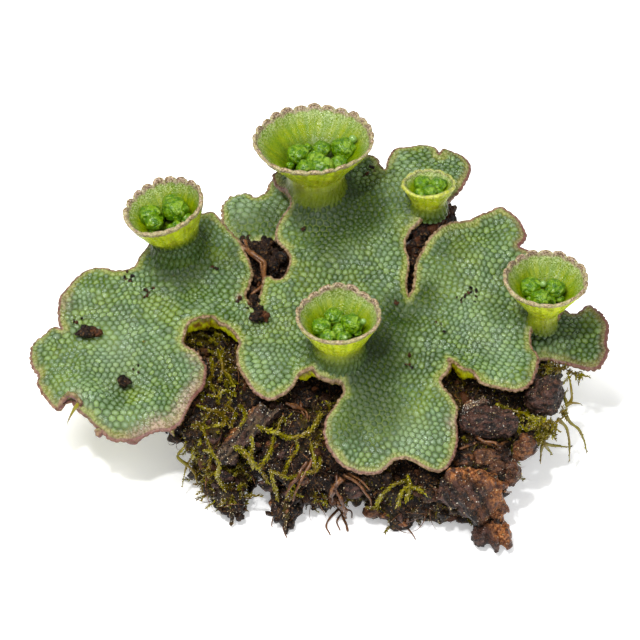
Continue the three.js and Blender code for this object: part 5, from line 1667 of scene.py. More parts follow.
def leafy_stem(skin, points, radius, draw, length=0.3, width=0.15, gap=0.045, tint=0.5, bare=False):
    """A thin stem thickly clad with scale leaves, or nearly bare and drawn out to a point."""
    step = np.linalg.norm(np.diff(points, axis=0), axis=1)
    along = np.concatenate([[0], np.cumsum(step)])
    run = along / along[-1]
    thin = radius * (0.6 + 0.4 * np.sin(np.pi * (run * 0.9 + 0.08)))
    if bare:
        thin = radius * (1.0 - 0.8 * run**1.5) * (1 + 0.35 * noise_at(points, 0.35, 84))
        gap = 4 * gap
        length = 0.5 * length
    stem, stem_faces = tube(points, thin if bare else 0.42 * thin, 7)
    keep_above(stem)
    skin.add(stem, stem_faces, tint=(1.0 if bare else 0.7) * tint, tip=0.1)
    count = max(4, int(along[-1] / gap))
    wanted = np.linspace(0, along[-1], count)
    middles = np.stack([np.interp(wanted, along, points[:, a]) for a in range(3)], 1)
    ways = unit(np.stack([np.gradient(middles[:, a]) for a in range(3)], 1))
    side = unit(np.cross(ways, [0.2, -RUN, RISE]))
    turn = 2.4 * np.arange(count)[:, None] + draw.uniform(-0.3, 0.3, (count, 1))
    outs = np.cos(turn) * side + np.sin(turn) * np.cross(ways, side)
    thick = np.interp(wanted, along, thin)[:, None]
    patch = noise_at(middles, 0.5, 83)
    tints = np.clip(tint + 0.3 * patch + draw.uniform(-0.25, 0.25, count), 0, 1)
    leaves_on(skin, middles + 0.3 * thick * outs, ways, outs, length, width, draw, tints)
    dew_glints_near(middles + 0.8 * thick * outs, outs, 0.3, draw)


# Flat scraps of bark: outline as (u, v), thickness, height of the ridges, width and way of the grain, how
# far rust reaches across it and in from its edge, the v that rust starts from, and how worn it is
SCRAPS = {
    "bark_strip_front": dict(
        outline=[
            (-4.5, 1.0), (-5.1, 0.3), (-5.9, -0.6), (-6.6, -1.5), (-7.2, -2.5), (-7.1, -3.2),
            (-6.3, -3.1), (-5.4, -2.2), (-4.7, -1.3), (-3.8, -0.4), (-2.9, 0.5), (-3.4, 0.8),
        ],
        thickness=0.7, ridge=0.16, fibre=0.13, grain=(4, 5), rusty=0.34, rust_reach=0.42, rust_from=-1.9,
        worn=0.45,
    ),
    "bark_flake_right": dict(
        outline=[
            (9.4, -3.4), (8.3, -4.3), (8.4, -6.0), (9.1, -6.5), (9.6, -6.25), (9.85, -6.95), (10.7, -7.3),
            (10.45, -7.75), (11.15, -8.3), (11.7, -8.15), (12.3, -8.6), (12.5, -8.1), (13.2, -8.4),
            (13.15, -7.5), (12.6, -6.6), (12.95, -6.4), (12.7, -5.2), (13.3, -4.6), (12.6, -3.9),
            (11.2, -3.4),
        ],
        thickness=0.9, ridge=0.25, fibre=0.24, grain=(4, -5), rusty=0.75, rust_reach=1.2, rust_from=-9,
        worn=0.0,
    ),
    "bark_strip_right": dict(
        outline=[
            (9.75, 0.35), (9.9, 0.9), (10.6, 1.25), (11.4, 1.55), (11.9, 1.3), (11.5, 0.8), (10.7, 0.45),
        ],
        thickness=0.7, ridge=0.1, fibre=0.2, grain=(5, 2), rusty=0.2, rust_reach=0.2, rust_from=-9, worn=0.2,
    ),
}

# Lumps of bark: seen middle, half-sizes and how rusty
BARK_LUMPS = {
    "bark_block_right": dict(seen=(11.7, -0.45), sizes=(1.7, 1.05, 1.1), rust=0.0),
    "bark_lump_right": dict(seen=(15.7, 1.5), sizes=(1.25, 1.2, 1.2), rust=0.0),
    "bark_lump_red": dict(seen=(14.1, -2.2), sizes=(0.85, 0.85, 0.95), rust=0.45),
    "bark_lump_small": dict(seen=(13.4, -3.8), sizes=(0.6, 0.65, 0.85), rust=0.2),
}

# Smaller chips of bark: seen middle, half-width, half-height and how rusty
BARK_CHIPS = [
    (12.6, -2.3, 0.6, 0.5, 0.2), (11.4, -2.8, 1.0, 0.5, 0.3), (12.9, -3.0, 0.6, 0.8, 0.1),
    (10.1, -3.0, 0.7, 0.4, 0.4), (12.2, -3.4, 0.7, 0.5, 0.2), (10.4, 0.1, 0.6, 0.5, 0.0),
    (15.0, 2.3, 0.7, 0.6, 0.0), (14.9, 0.9, 0.6, 0.6, 0.0), (-3.6, -4.6, 0.7, 0.5, 0.0),
    (-6.5, -4.0, 0.6, 0.5, 0.0), (-2.2, -2.4, 0.8, 0.5, 0.0), (-1.4, -4.2, 0.6, 0.5, 0.3),
    (2.2, -5.0, 0.7, 0.5, 0.0), (3.6, -6.4, 0.6, 0.5, 0.3), (7.9, -5.4, 0.7, 0.5, 0.2),
    (-7.4, -1.6, 0.6, 0.5, 0.0),
]

# Stems: (u, v), laid on the soil, or (u, v, y) where they hang free
MOSS_STEMS = {
    "moss_front_arc": dict(
        radius=0.27,
        routes=[
            [
                (-4.4, -0.5), (-3.7, -0.8), (-2.9, -1.1), (-2.0, -1.35), (-1.1, -1.15), (-0.5, -0.7),
                (0.1, 0.2),
            ],
            [(-3.2, -1.2), (-3.3, -1.9), (-3.6, -2.6), (-4.2, -3.5)],
            [(-0.8, -1.0), (-0.6, -1.9), (-0.4, -2.7), (-0.3, -3.6)],
        ],
    ),
    "moss_front_low": dict(radius=0.25, routes=[[(-5.9, -1.9), (-5.4, -2.2), (-4.9, -2.7), (-4.5, -3.4)]]),
    "moss_arch": dict(
        radius=0.27,
        routes=[
            [(-7.1, 4.8), (-6.9, 4.1), (-6.8, 3.4), (-7.0, 2.6)],
            [(-6.8, 3.3), (-6.3, 2.9), (-6.0, 2.3)],
        ],
    ),
    "moss_left": dict(
        radius=0.22,
        routes=[
            [(-7.5, -2.3), (-8.6, -2.45, -8.5), (-9.3, -3.4, -8.7), (-9.6, -4.8, -9.1)],
            [(-9.3, -3.3, -8.7), (-8.75, -3.85, -8.9), (-8.5, -4.7, -9.1)],
            [
                (-9.3, -3.3, -8.7), (-9.9, -2.7, -8.6), (-9.7, -2.35, -8.5), (-9.2, -1.9, -8.2),
                (-9.0, -1.2, -7.6),
            ],
        ],
    ),
    "moss_left_top": dict(
        radius=0.27, routes=[[(-8.6, 0.9), (-7.8, 0.6), (-7.1, 0.4), (-6.6, -0.3), (-7.2, -0.6)]]
    ),
    "moss_under_lobe": dict(
        radius=0.25,
        routes=[
            [(6.1, -3.9), (6.2, -4.7), (6.0, -5.6)],
            [(6.2, -4.6), (5.6, -5.2), (5.4, -6.0)],
            [(6.2, -4.7), (7.0, -5.0), (7.6, -5.4)],
        ],
    ),
    "moss_right_clump": dict(
        radius=0.21,
        routes=[
            [
                (12.3, 0.9), (13.0, 0.6), (13.8, 0.4), (14.6, 0.0, -7.6), (15.2, -0.9, -7.4),
                (15.6, -1.8, -7.2),
            ],
            [(13.9, 0.4), (13.7, -0.4), (13.9, -1.2)],
            [(15.1, 1.0), (15.4, 0.2), (15.8, -0.8)],
            [(15.6, -1.7, -7.2), (15.4, -2.35, -6.9), (15.38, -3.2, -6.7)],
            [(15.6, -1.8, -7.2), (15.9, -2.2, -6.9), (16.2, -2.6, -6.6)],
            [(15.6, -1.8, -7.2), (16.4, -2.0, -6.8), (17.5, -2.05, -6.2)],
            [(15.8, -1.2, -7.2), (16.4, -0.4, -6.8), (17.1, 0.2, -6.0), (17.2, 0.8, -5.4)],
            [
                (17.1, 0.3, -5.9), (17.5, -0.4, -5.9), (18.05, -0.8, -5.8), (18.4, -1.5, -5.8),
                (18.66, -2.5, -5.8),
            ],
            [
                (16.6, -0.1, -6.4), (17.1, -0.6, -6.2), (17.3, -1.2, -6.2), (17.4, -2.0, -6.3),
                (17.37, -3.1, -6.6),
            ],
            [(17.1, 0.8, -5.5), (17.6, 1.0, -5.4), (18.2, 0.95, -5.4)],
            [(17.2, 0.8, -5.4), (17.5, 1.2, -4.9), (17.55, 1.9, -4.2), (17.3, 3.1, -2.8)],
            [(17.2, 0.9, -5.2), (17.0, 1.5, -4.6), (17.3, 2.0, -4.1)],
        ],
    ),
}

# Rootlets and the twig, with routes like those of the stems
ROOTLETS = {
    "root_orange": dict(
        radius=0.2,
        routes=[[(9.95, -0.7), (10.6, -1.15), (11.3, -1.55, -9.7), (12.2, -1.8, -9.9), (13.1, -1.6)]],
    ),
    "root_fork": dict(
        radius=0.2,
        routes=[
            [(-2.4, 1.0), (-1.8, 0.75), (-1.1, 0.5), (-0.8, -0.1)],
            [(-1.3, 0.6), (-1.2, 1.2), (-0.6, 1.35)],
        ],
    ),
    "root_middle": dict(radius=0.22, routes=[[(-0.9, -3.0), (-1.3, -3.7), (-1.7, -4.4), (-2.3, -5.2)]]),
    "root_under_lobe": dict(
        radius=0.22,
        routes=[[(1.1, -3.9), (1.0, -4.8), (0.8, -5.8)], [(1.0, -4.9), (1.6, -5.9), (1.8, -7.0, -11.6)]],
    ),
    "twig_back": dict(
        radius=0.24, routes=[[(-5.3, 11.5), (-4.7, 11.2), (-4.1, 10.6), (-4.15, 9.8), (-4.35, 9.1)]]
    ),
}

# Clusters of wet grains on the plate: seen middle, half-sizes and how many
CRUMBS = {
    "crumb_left": dict(seen=(-16.1, 5.8), sizes=(1.0, 0.4, 0.2), grains=34),
    "crumb_left_small": dict(seen=(-13.55, 2.35), sizes=(0.45, 0.4, 0.2), grains=14),
    "crumb_gap": dict(seen=(-4.25, 6.9), sizes=(0.75, 0.45, 0.3), grains=26),
}

# Grains scattered on the plate: u, v, reach and how many
SPECKS = [
    (-13.4, 9.7, 0.35, 8), (-11.9, 8.8, 0.5, 8), (-10.2, 9.8, 0.3, 4), (-5.7, 8.4, 0.3, 5),
    (-4.6, 7.9, 0.5, 16), (3.5, 17.4, 0.4, 8), (10.7, 8.7, 0.7, 9), (9.9, 8.2, 0.3, 4),
    (8.3, 6.4, 0.4, 4), (6.3, 3.9, 0.5, 4), (-1.2, 13.2, 0.2, 2), (-12.9, 3.4, 0.4, 3),
    (-16.9, 6.9, 0.5, 3), (5.4, 8.0, 0.4, 4), (13.1, 9.3, 0.3, 3), (-8.3, 10.3, 0.8, 4),
]

# Thin strands of moss: (u, v), laid on the soil, or (u, v, y) where they hang free
STRANDS = [
    [(-2.55, 0.15), (-2.8, -0.4), (-3.02, -0.96)],
    [(-4.75, -1.27), (-4.7, -2.1), (-4.91, -3.0)],
    [(-6.0, -1.9), (-5.2, -2.6), (-4.28, -3.47), (-3.6, -4.4)],
    [
        (-0.82, -1.27), (-0.3, -1.8), (-0.19, -2.37), (-0.1, -3.47), (-1.2, -3.9), (-2.39, -4.1),
        (-3.33, -3.63),
    ],
    [(-3.4, -3.5), (-3.2, -4.5), (-2.9, -5.6)],
    [(-1.7, -1.3), (-1.6, -2.2), (-2.2, -3.0), (-2.5, -4.0)],
    [(-8.6, -0.2), (-8.0, -1.2), (-7.6, -2.2), (-7.7, -3.4)],
    [(-7.4, -2.4), (-7.0, -3.2), (-7.1, -4.2), (-6.6, -5.0)],
    [(-7.9, 1.6), (-7.2, 1.5), (-6.6, 1.9), (-5.9, 1.6)],
    [(-7.2, 3.4), (-7.7, 2.6), (-7.4, 1.9)],
    [(-6.4, 0.9), (-5.9, 0.3), (-6.2, -0.5)],
    [(6.0, -4.3), (5.2, -4.6), (4.4, -5.2), (3.9, -6.2)],
    [(13.1, 0.5), (13.6, -0.5), (14.6, -0.9)],
    [(13.3, 0.7), (12.9, -0.2), (13.2, -1.4)],
    [(-16.8, 1.0, -8.4), (-17.1, 0.5, -8.5), (-17.3, 0.1, -8.7), (-17.5, -0.4, -8.9)],
    [(-7.6, 4.2), (-7.5, 3.2), (-8.0, 2.2), (-8.3, 1.2)],
    [(-5.6, 0.9), (-5.2, 0.2), (-5.5, -0.6)],
]

# Knots of moss: u, v, what carries them (or their y), reach, shoots, length and tint
TUFTS = [
    (15.9, 3.6, "tip", (0.7, 0.3, 0.3), 16, 0.6, 0.4), (16.9, 3.4, "tip", (0.6, 0.3, 0.2), 14, 0.5, 0.4),
    (17.8, 3.1, "tip", (0.6, 0.3, 0.2), 12, 0.5, 0.4), (18.3, 2.9, "tip", (0.2, 0.2, 0.2), 5, 0.4, 0.4),
    (15.2, 2.9, "soil", (0.5, 0.3, 0.3), 10, 0.6, 0.3), (16.9, 0.3, -6.4, (0.4, 0.3, 0.3), 9, 0.45, 0.5),
    (15.9, -0.7, -7.0, (0.7, 0.4, 0.7), 60, 0.55, 0.75),
    (15.4, -1.3, -7.2, (0.4, 0.3, 0.4), 26, 0.5, 0.7), (14.6, 0.3, "soil", (0.8, 0.4, 0.7), 50, 0.6, 0.8),
    (15.0, -0.2, -7.4, (0.6, 0.4, 0.6), 40, 0.5, 0.8), (14.2, 0.2, "soil", (0.7, 0.4, 0.5), 18, 0.7, 0.6),
    (13.6, -0.5, "soil", (0.6, 0.3, 0.5), 12, 0.6, 0.6),
    (12.8, 0.5, "soil", (0.6, 0.3, 0.4), 12, 0.6, 0.6),
    (-7.6, -3.9, "soil", (0.5, 0.3, 0.4), 12, 0.5, 0.3),
    (-6.2, -5.6, "soil", (0.5, 0.3, 0.5), 14, 0.5, 0.3),
    (-4.9, -4.4, "soil", (0.4, 0.3, 0.4), 10, 0.5, 0.5),
    (-1.9, -5.0, "soil", (0.5, 0.3, 0.4), 12, 0.5, 0.6),
    (0.0, -5.6, "soil", (0.6, 0.3, 0.4), 12, 0.5, 0.5),
    (-7.5, 2.0, "soil", (0.6, 0.3, 0.5), 14, 0.5, 0.5),
    (-6.3, 0.6, "soil", (0.6, 0.3, 0.5), 14, 0.5, 0.5),
    (-8.3, -0.6, "soil", (0.6, 0.3, 0.5), 14, 0.5, 0.5),
    (-8.0, -4.6, "soil", (0.3, 0.3, 0.4), 10, 0.5, 0.4),
    (6.4, -5.0, "soil", (0.7, 0.3, 0.5), 14, 0.5, 0.4),
    (-2.4, -0.2, "soil", (0.6, 0.3, 0.4), 10, 0.5, 0.5),
    (10.2, 2.6, "soil", (0.5, 0.3, 0.3), 8, 0.5, 0.5), (-7.2, 3.6, "soil", (0.6, 0.3, 0.5), 14, 0.5, 0.3),
    (-6.4, 2.4, "soil", (0.5, 0.3, 0.5), 12, 0.5, 0.4),
    (13.2, 1.2, "soil", (0.6, 0.3, 0.4), 16, 0.6, 0.7),
]

# Roots that hang out of the soil: radius, and a route of (u, v) on the soil, (u, v, y) clear of it, or
# (u, v, "gap") in the gap between the back-left branches
HANGING_ROOTS = [
    (0.2, [(1.5, -4.2), (0.9, -5.0), (1.2, -6.2, -9.8), (1.6, -7.1, -11.1), (1.9, -8.05, -12.5)]),
    (0.13, [(1.3, -5.8), (1.5, -6.2, -9.9), (0.8, -6.9, -10.8), (0.45, -7.6, -11.9), (0.65, -8.25, -12.8)]),
    (0.11, [(1.4, -6.0), (1.5, -6.7, -10.5), (1.15, -7.3, -11.4), (1.35, -7.9, -12.3)]),
    (0.11, [(1.3, -5.9), (1.6, -6.4, -10.2), (2.1, -6.5, -10.3), (2.25, -7.0, -11.0)]),
    (0.12, [(1.6, -3.9), (2.4, -4.4), (3.2, -5.2), (3.6, -6.1)]),
    (0.1, [(2.0, -3.8), (2.8, -4.3), (3.5, -5.0)]),
    (0.09, [(6.1, -7.0), (6.0, -7.6, -11.9), (6.3, -8.1, -12.6), (6.6, -8.5, -13.25)]),
    (0.1, [(-2.3, -6.4), (-2.6, -7.2, -11.2), (-2.5, -7.8, -12.1), (-2.3, -8.4, -13.1)]),
    (0.13, [(-0.4, -2.6), (-0.9, -3.6), (-1.5, -4.6), (-1.9, -5.8)]),
    (0.1, [(9.6, -2.2), (10.4, -1.9), (11.3, -1.7), (12.2, -2.0)]),
    (0.09, [(10.3, -3.0), (10.9, -2.5), (11.6, -2.1)]),
    (0.12, [(9.7, -0.1), (10.8, 0.25), (11.9, 0.7), (12.8, 0.6)]),
    (0.09, [(-2.4, 1.0), (-1.6, 0.9), (-1.1, 0.2), (-0.7, -0.4)]),
    (0.08, [(12.8, -5.1), (13.3, -5.2, -9.4)]),
    (
        0.2,
        [
            (-5.7, 12.1, "gap"), (-4.9, 11.5, "gap"), (-3.9, 10.8, "gap"), (-3.95, 9.9, "gap"),
            (-4.1, 9.2, "gap"), (-4.8, 8.5, "gap"), (-4.7, 7.9, "gap"),
        ],
    ),
    (0.13, [(-5.3, 12.4, "gap"), (-4.8, 11.4, "gap"), (-4.2, 10.8, "gap"), (-4.0, 9.9, "gap")]),
]

# Points of soil along the clod's lower edge: where each starts and ends in the view, and its radius
FRINGE = [
    (-9.4, -0.6, -10.0, -1.7, 0.3), (-7.2, -4.0, -8.1, -5.4, 0.5), (-7.2, -3.6, -8.0, -4.05, 0.4),
    (-6.3, -4.9, -6.25, -7.0, 0.75), (-6.2, -6.0, -6.18, -7.6, 0.25), (-5.6, -4.4, -5.5, -6.0, 0.45),
    (-4.8, -4.2, -4.9, -5.6, 0.45), (-2.9, -5.2, -2.8, -7.2, 0.5), (-2.4, -6.0, -2.35, -8.05, 0.35),
    (-2.8, -4.9, -3.4, -6.2, 0.4), (-1.5, -5.0, -1.4, -6.6, 0.5), (-0.9, -5.2, -0.95, -6.4, 0.4),
    (0.2, -5.2, 0.4, -6.6, 0.4), (4.3, -5.4, 4.1, -6.6, 0.4), (5.4, -6.0, 5.6, -7.3, 0.4),
    (6.4, -6.2, 7.0, -7.6, 0.4), (7.8, -6.4, 7.7, -6.9, 0.3), (14.8, -0.6, 15.0, -2.0, 0.35),
]

# Heaps of crumbs: middle, reach and how many
HEAPS = [
    ((15.6, -0.4, 4.3), (1.1, 1.2, 1.0), 90), ((14.3, -1.6, 4.9), (1.0, 1.0, 0.9), 50),
]

# Crumbs caught in the gaps: u, v, lift from the plate, reach, how many and how brown
DEBRIS = [
    (7.0, 13.45, -0.7, 0.25, 16, 0.8), (7.4, 13.6, -0.8, 0.25, 14, 0.8), (6.8, 13.0, -0.7, 0.25, 14, 0.9),
    (-3.3, 10.6, -1.2, 0.5, 20, 0.1), (-3.0, 11.2, -1.3, 0.4, 16, 0.1), (-4.0, 11.3, -1.2, 0.4, 14, 0.2),
    (9.2, 14.5, -1.2, 0.35, 14, 0.9), (8.6, 14.3, -1.3, 0.35, 14, 0.8), (8.2, 13.9, -1.2, 0.3, 12, 0.8),
    (-5.4, 11.9, -1.6, 0.35, 16, 0.3), (-5.2, 12.5, -2.0, 0.3, 14, 0.2), (8.5, 14.0, -0.7, 0.35, 16, 1.0),
    (7.9, 13.3, -0.8, 0.4, 24, 1.0), (7.2, 12.8, -0.8, 0.4, 26, 0.9), (6.7, 12.1, -0.8, 0.35, 24, 1.0),
    (6.6, 11.4, -0.9, 0.3, 16, 0.9), (9.0, 13.9, -0.8, 0.3, 8, 0.8), (-5.0, 12.2, -1.8, 0.5, 26, 0.3),
    (-4.4, 11.9, -1.8, 0.6, 22, 0.3), (-3.6, 11.7, -1.6, 0.6, 22, 0.2), (-5.2, 11.2, -1.5, 0.4, 14, 0.8),
    (-4.75, 8.9, -0.6, 0.25, 10, 0.8), (-4.6, 8.2, -0.3, 0.22, 14, 0.5), (-4.3, 7.4, 0.1, 0.2, 14, 0.8),
    (-5.0, 10.4, -1.0, 0.3, 12, 0.7), (-4.6, 9.9, -0.9, 0.3, 12, 0.9),
]


def laid_route(route, radius):
    """A smooth route over the soil, and over the flat scraps of bark that it crosses."""
    points = []
    for stop in route:
        u, v = stop[:2]
        if len(stop) == 3:
            y = float(settle(u, v, main_height, -0.5)) if stop[2] == "gap" else stop[2]
            points.append(seen_at(u, v, y))
            continue
        over = 0.0
        here = np.array([[u, v]])
        for scrap in SCRAPS.values():
            outline = np.array(scrap["outline"])
            if is_inside(here, outline)[0] or margin_distance(here, outline)[0] < 3 * radius:
                over = scrap["thickness"] + scrap["ridge"] + 0.4
                break
        points.append(lay_on_soil(u, v, radius + STEM_CLEARANCE + over)[0])
    return curve_through(points, 0.12)


def hangs_free(route):
    return sum(len(stop) == 3 for stop in route) > 1


def moss_piece(name):
    stems = MOSS_STEMS[name]
    draw = np.random.default_rng(len(name) * 13)
    skin = Skin("tip", "tint")
    for route in stems["routes"]:
        bare = hangs_free(route)
        points = laid_route(route, stems["radius"])
        points = points + 0.05 * wobble_at(points, 0.8, 81)
        radius = 0.62 * stems["radius"] if bare else stems["radius"]
        leafy_stem(skin, points, radius, draw, tint=0.45 if bare else 0.6, bare=bare)
    skin.make(name + "_leafy", MOSS, replaces=[name])


def tuft(skin, start, spread, count, length, draw, tint):
    """A knot of short leafy shoots that point outwards and down from about one place."""
    for _ in range(count):
        root = start + spread * draw.normal(0, 0.45, 3)
        way = unit(draw.normal(0, 0.8, 3) + [0, -0.5, -0.3])
        reach = length * draw.uniform(0.5, 1.2)
        t = np.linspace(0, 1, 7)[:, None]
        points = root + reach * (t * way + 0.4 * t * t * draw.normal(0, 0.5, 3))
        keep_above(points, 0.15)
        leafy_stem(skin, points, 0.12, draw, 0.22, 0.11, 0.045, tint + draw.uniform(-0.25, 0.25))


def tufts_piece():
    """Knots of moss on the soil's edges and under the right-hand lobe."""
    draw = np.random.default_rng(151)
    skin = Skin("tip", "tint")
    for u, v, where, spread, count, length, tint in TUFTS:
        if where == "tip":
            start = seen_at(u, v, float(settle(u, v, right_tip_height, -0.7)))
        elif where == "soil":
            start = lay_on_soil(u, v, 0.1)[0]
        else:
            start = seen_at(u, v, where)
        tuft(skin, start, np.array(spread), count, length, draw, tint)
    skin.make("moss_tufts", MOSS)


def sprigs_piece():
    """Thin strands, small leafy shoots and single leaves all over the mossy parts of the soil."""
    draw = np.random.default_rng(91)
    skin = Skin("tip", "tint")
    moss = mossiness(soil_points[soil_shown])
    weight = moss / moss.sum()
    for route in STRANDS:
        points = laid_route(route, 0.16)
        keep_above(points, 0.2)
        bare = hangs_free(route)
        points = points + 0.06 * wobble_at(points, 0.6, 82)
        leafy_stem(skin, points, 0.13 if bare else 0.17, draw, 0.24, 0.14, 0.04, 0.6, bare)
    for _ in range(SPRIGS):
        at = draw.choice(soil_shown, p=weight)
        way = unit(soil_normals[at] + draw.normal(0, 0.55, 3) + [0, 0, 0.25])
        bend = draw.normal(0, 0.35, 3) + [0, 0, -0.25]
        length = draw.uniform(0.5, 1.5)
        t = np.linspace(0, 1, 7)[:, None]
        points = soil_points[at] + length * (t * way + 0.5 * t * t * bend)
        keep_above(points, 0.15)
        leafy_stem(skin, points, 0.1, draw, 0.24, 0.12, 0.05, draw.uniform(0.2, 0.8))
    picked = draw.choice(soil_shown, SINGLE_LEAVES, p=weight)
    outs = unit(soil_normals[picked] + draw.normal(0, 0.6, (SINGLE_LEAVES, 3)))
    ways = unit(np.cross(outs, draw.normal(0, 1, (SINGLE_LEAVES, 3))))
    tints = draw.uniform(0, 0.7, SINGLE_LEAVES)
    roots = soil_points[picked] - 0.03 * soil_normals[picked]
    leaves_on(skin, roots, outs, ways, 0.28, 0.1, draw, tints)
    skin.make("moss_sprigs", MOSS)


for stem_name in MOSS_STEMS:
    moss_piece(stem_name)
sprigs_piece()
tufts_piece()


# Rootlets and fibres
def root_piece(name):
    roots = ROOTLETS[name]
    skin = Skin("pale")
    for route in roots["routes"]:
        points = laid_route(route, roots["radius"])
        points = points + 0.1 * wobble_at(points, 0.5, 85)
        t = np.linspace(0, 1, len(points))
        thick = roots["radius"] * (0.3 + 0.3 * np.sin(np.pi * np.clip(t * 0.85 + 0.12, 0, 1)))
        thick = thick * (1 + 0.4 * noise_at(points, 0.25, 86))
        skin.add(*tube(points, thick, 8), pale=0.3 + 0.4 * noise_at(points, 1.0, 87)[0])
    skin.make(name + "_bark", ROOT, replaces=[name])


def fibres_piece():
    """Hair-thin roots over the soil, and a few longer ones that hang out of it."""
    draw = np.random.default_rng(101)
    skin = Skin("pale")
    t = np.linspace(0, 1, 9)[:, None]
    for _ in range(ROOT_HAIRS):
        at = draw.choice(soil_shown)
        normal = soil_normals[at]
        way = unit(np.cross(normal, draw.normal(0, 1, 3)) + [0, 0, -0.4])
        length = draw.uniform(0.6, 2.6)
        bend = draw.normal(0, 0.7, 3)
        points = soil_points[at] + normal * 0.08 + length * (t * way + 0.4 * t * t * bend)
        points = points + normal * 0.35 * np.sin(np.pi * t)
        keep_above(points, 0.08)
        thick = draw.uniform(0.02, 0.05) * (1.1 - t[:, 0])
        skin.add(*tube(points, thick, 4), pale=draw.uniform(0, 1))
    for radius, route in HANGING_ROOTS:
        points = laid_route(route, radius)
        points = points + 0.08 * wobble_at(points, 0.7, 89)
        keep_above(points, 1.2 * radius)
        run = np.linspace(0, 1, len(points))
        thick = radius * (1.05 - 0.65 * run**1.5) * (1 + 0.25 * noise_at(points, 0.3, 88))
        strand, strand_faces = tube(points, thick, 7)
        keep_above(strand)
        skin.add(strand, strand_faces, pale=0.45)
    skin.make("root_hairs", ROOT)


for root_name in ROOTLETS:
    root_piece(root_name)
fibres_piece()


# Loose crumbs of soil
def scattered(draw, u, v, reach, count, lift):
    """Places near where the plate, lifted by lift, is seen at (u, v)."""
    x, seen_v = (np.array([u, v]) + reach * draw.normal(0, 0.5, (count, 2))).T
    y = settle(x, seen_v, main_height, lift)
    return np.column_stack([x, y, main_height(x, y) + lift])


def specks_piece():
    """Grains of soil scattered on the plate."""
    draw = np.random.default_rng(61)
    skin = Skin("crumb", "mossy")
    for u, v, reach, count in SPECKS:
        middles = scattered(draw, u, v, reach, count, 0.15)
        sizes = draw.uniform(0.05, 0.13, count)
        rough_lumps(skin, middles, sizes, 2, draw, crumb=draw.uniform(0.2, 1, count))
    skin.make("plate_specks", SOIL)


def crumb_piece(name, phase):
    """A cluster of angular wet grains lying on the plate."""
    crumb = CRUMBS[name]
    draw = np.random.default_rng(30 + phase)
    middle = stand_on(*crumb["seen"], main_height, 0.25) + [0, 0, 0.15]
    count = crumb["grains"]
    middles = middle + np.array(crumb["sizes"]) * 0.75 * ball_draws(draw, count)
    brown = smooth((middles[:, 0] - middle[0]) / 0.6 + 0.3)
    grains = Skin("crumb", "mossy")
    rough_lumps(grains, middles, draw.uniform(0.16, 0.3, count), 2, draw, crumb=brown)
    grains.make(name + "_wet", SOIL, replaces=[name])


def debris_piece():
    """Crumbs of soil caught in the gaps between the branches, and heaped under the right-hand lobe."""
    draw = np.random.default_rng(121)
    skin = Skin("crumb", "mossy")
    for u, v, lift, reach, count, brown in DEBRIS:
        middles = scattered(draw, u, v, reach, count, lift)
        middles[:, 2] += draw.uniform(-0.4, 0.1, count)
        sizes = draw.uniform(0.14, 0.36, count)
        rough_lumps(skin, middles, sizes, 2, draw, crumb=brown * draw.uniform(0.5, 1, count))
    for middle, reach, count in HEAPS:
        middles = np.array(middle) + np.array(reach) * ball_draws(draw, count)
        sizes = draw.uniform(0.25, 0.5, count)
        rough_lumps(skin, middles, sizes, 2, draw, crumb=0.4 * draw.uniform(0, 1, count), mossy=0.3)
        in_front = middles + [0, -0.3, 0.3]
        dew_glints_near(in_front, np.zeros_like(middles), 0.5, draw)
    skin.make("gap_crumbs", SOIL)


def fringe_piece():
    """Crumbly points of soil that hang out of the clod's lower edge."""
    draw = np.random.default_rng(111)
    skin = Skin("crumb", "mossy")
    tip_height = 0.15
    t = np.linspace(0, 1, 26)[:, None]
    for u, v, tip_u, tip_v, radius in FRINGE:
        start = lay_on_soil(u, v, -0.2)[0]
        tip = np.array([tip_u, (tip_v - tip_height * RUN) / RISE, tip_height])
        points = start * (1 - t) + tip * t + np.array([0, 0, 1.0]) * 0.25 * np.sin(np.pi * t)
        points = points + 0.12 * wobble_at(points, 0.7, 112) * np.sin(np.pi * t)
        thick = radius * (1 - t[:, 0]) ** 0.8 + 0.05
        spike, spike_faces = tube(points, thick, 14)
        normals = point_normals(spike, spike_faces)
        spike = spike + normals * (0.5 * thick.mean() * layered_noise(spike, 0.4, 3, 113))[:, None]
        keep_above(spike)
        skin.add(spike, spike_faces, crumb=0.3, mossy=draw.uniform(0.2, 0.9))
        dew_glints_near(spike, normals, 0.12, draw)
    skin.make("soil_fringe", SOIL)


# Bark
def scrap_relief(scrap, flat, stretched, gap):
    """How far the top of a scrap of bark stands up or down: ridges, steps of the grain, a worn edge."""
    ridge = scrap["ridge"]
    relief = 0.6 * ridge * np.sin(5 * flat[:, 0] - 4 * flat[:, 1])
    steps = layered_noise(stretched, 0.8, 3, 95)
    relief += 0.26 * np.round(steps * 3) / 3 + 0.07 * noise_at(stretched, 0.1, 96)
    relief += ridge * 0.5 * np.abs(layered_noise(in_plan(flat), 0.5, 3, 94))
    return relief - 0.25 * np.exp(-gap / 0.15)


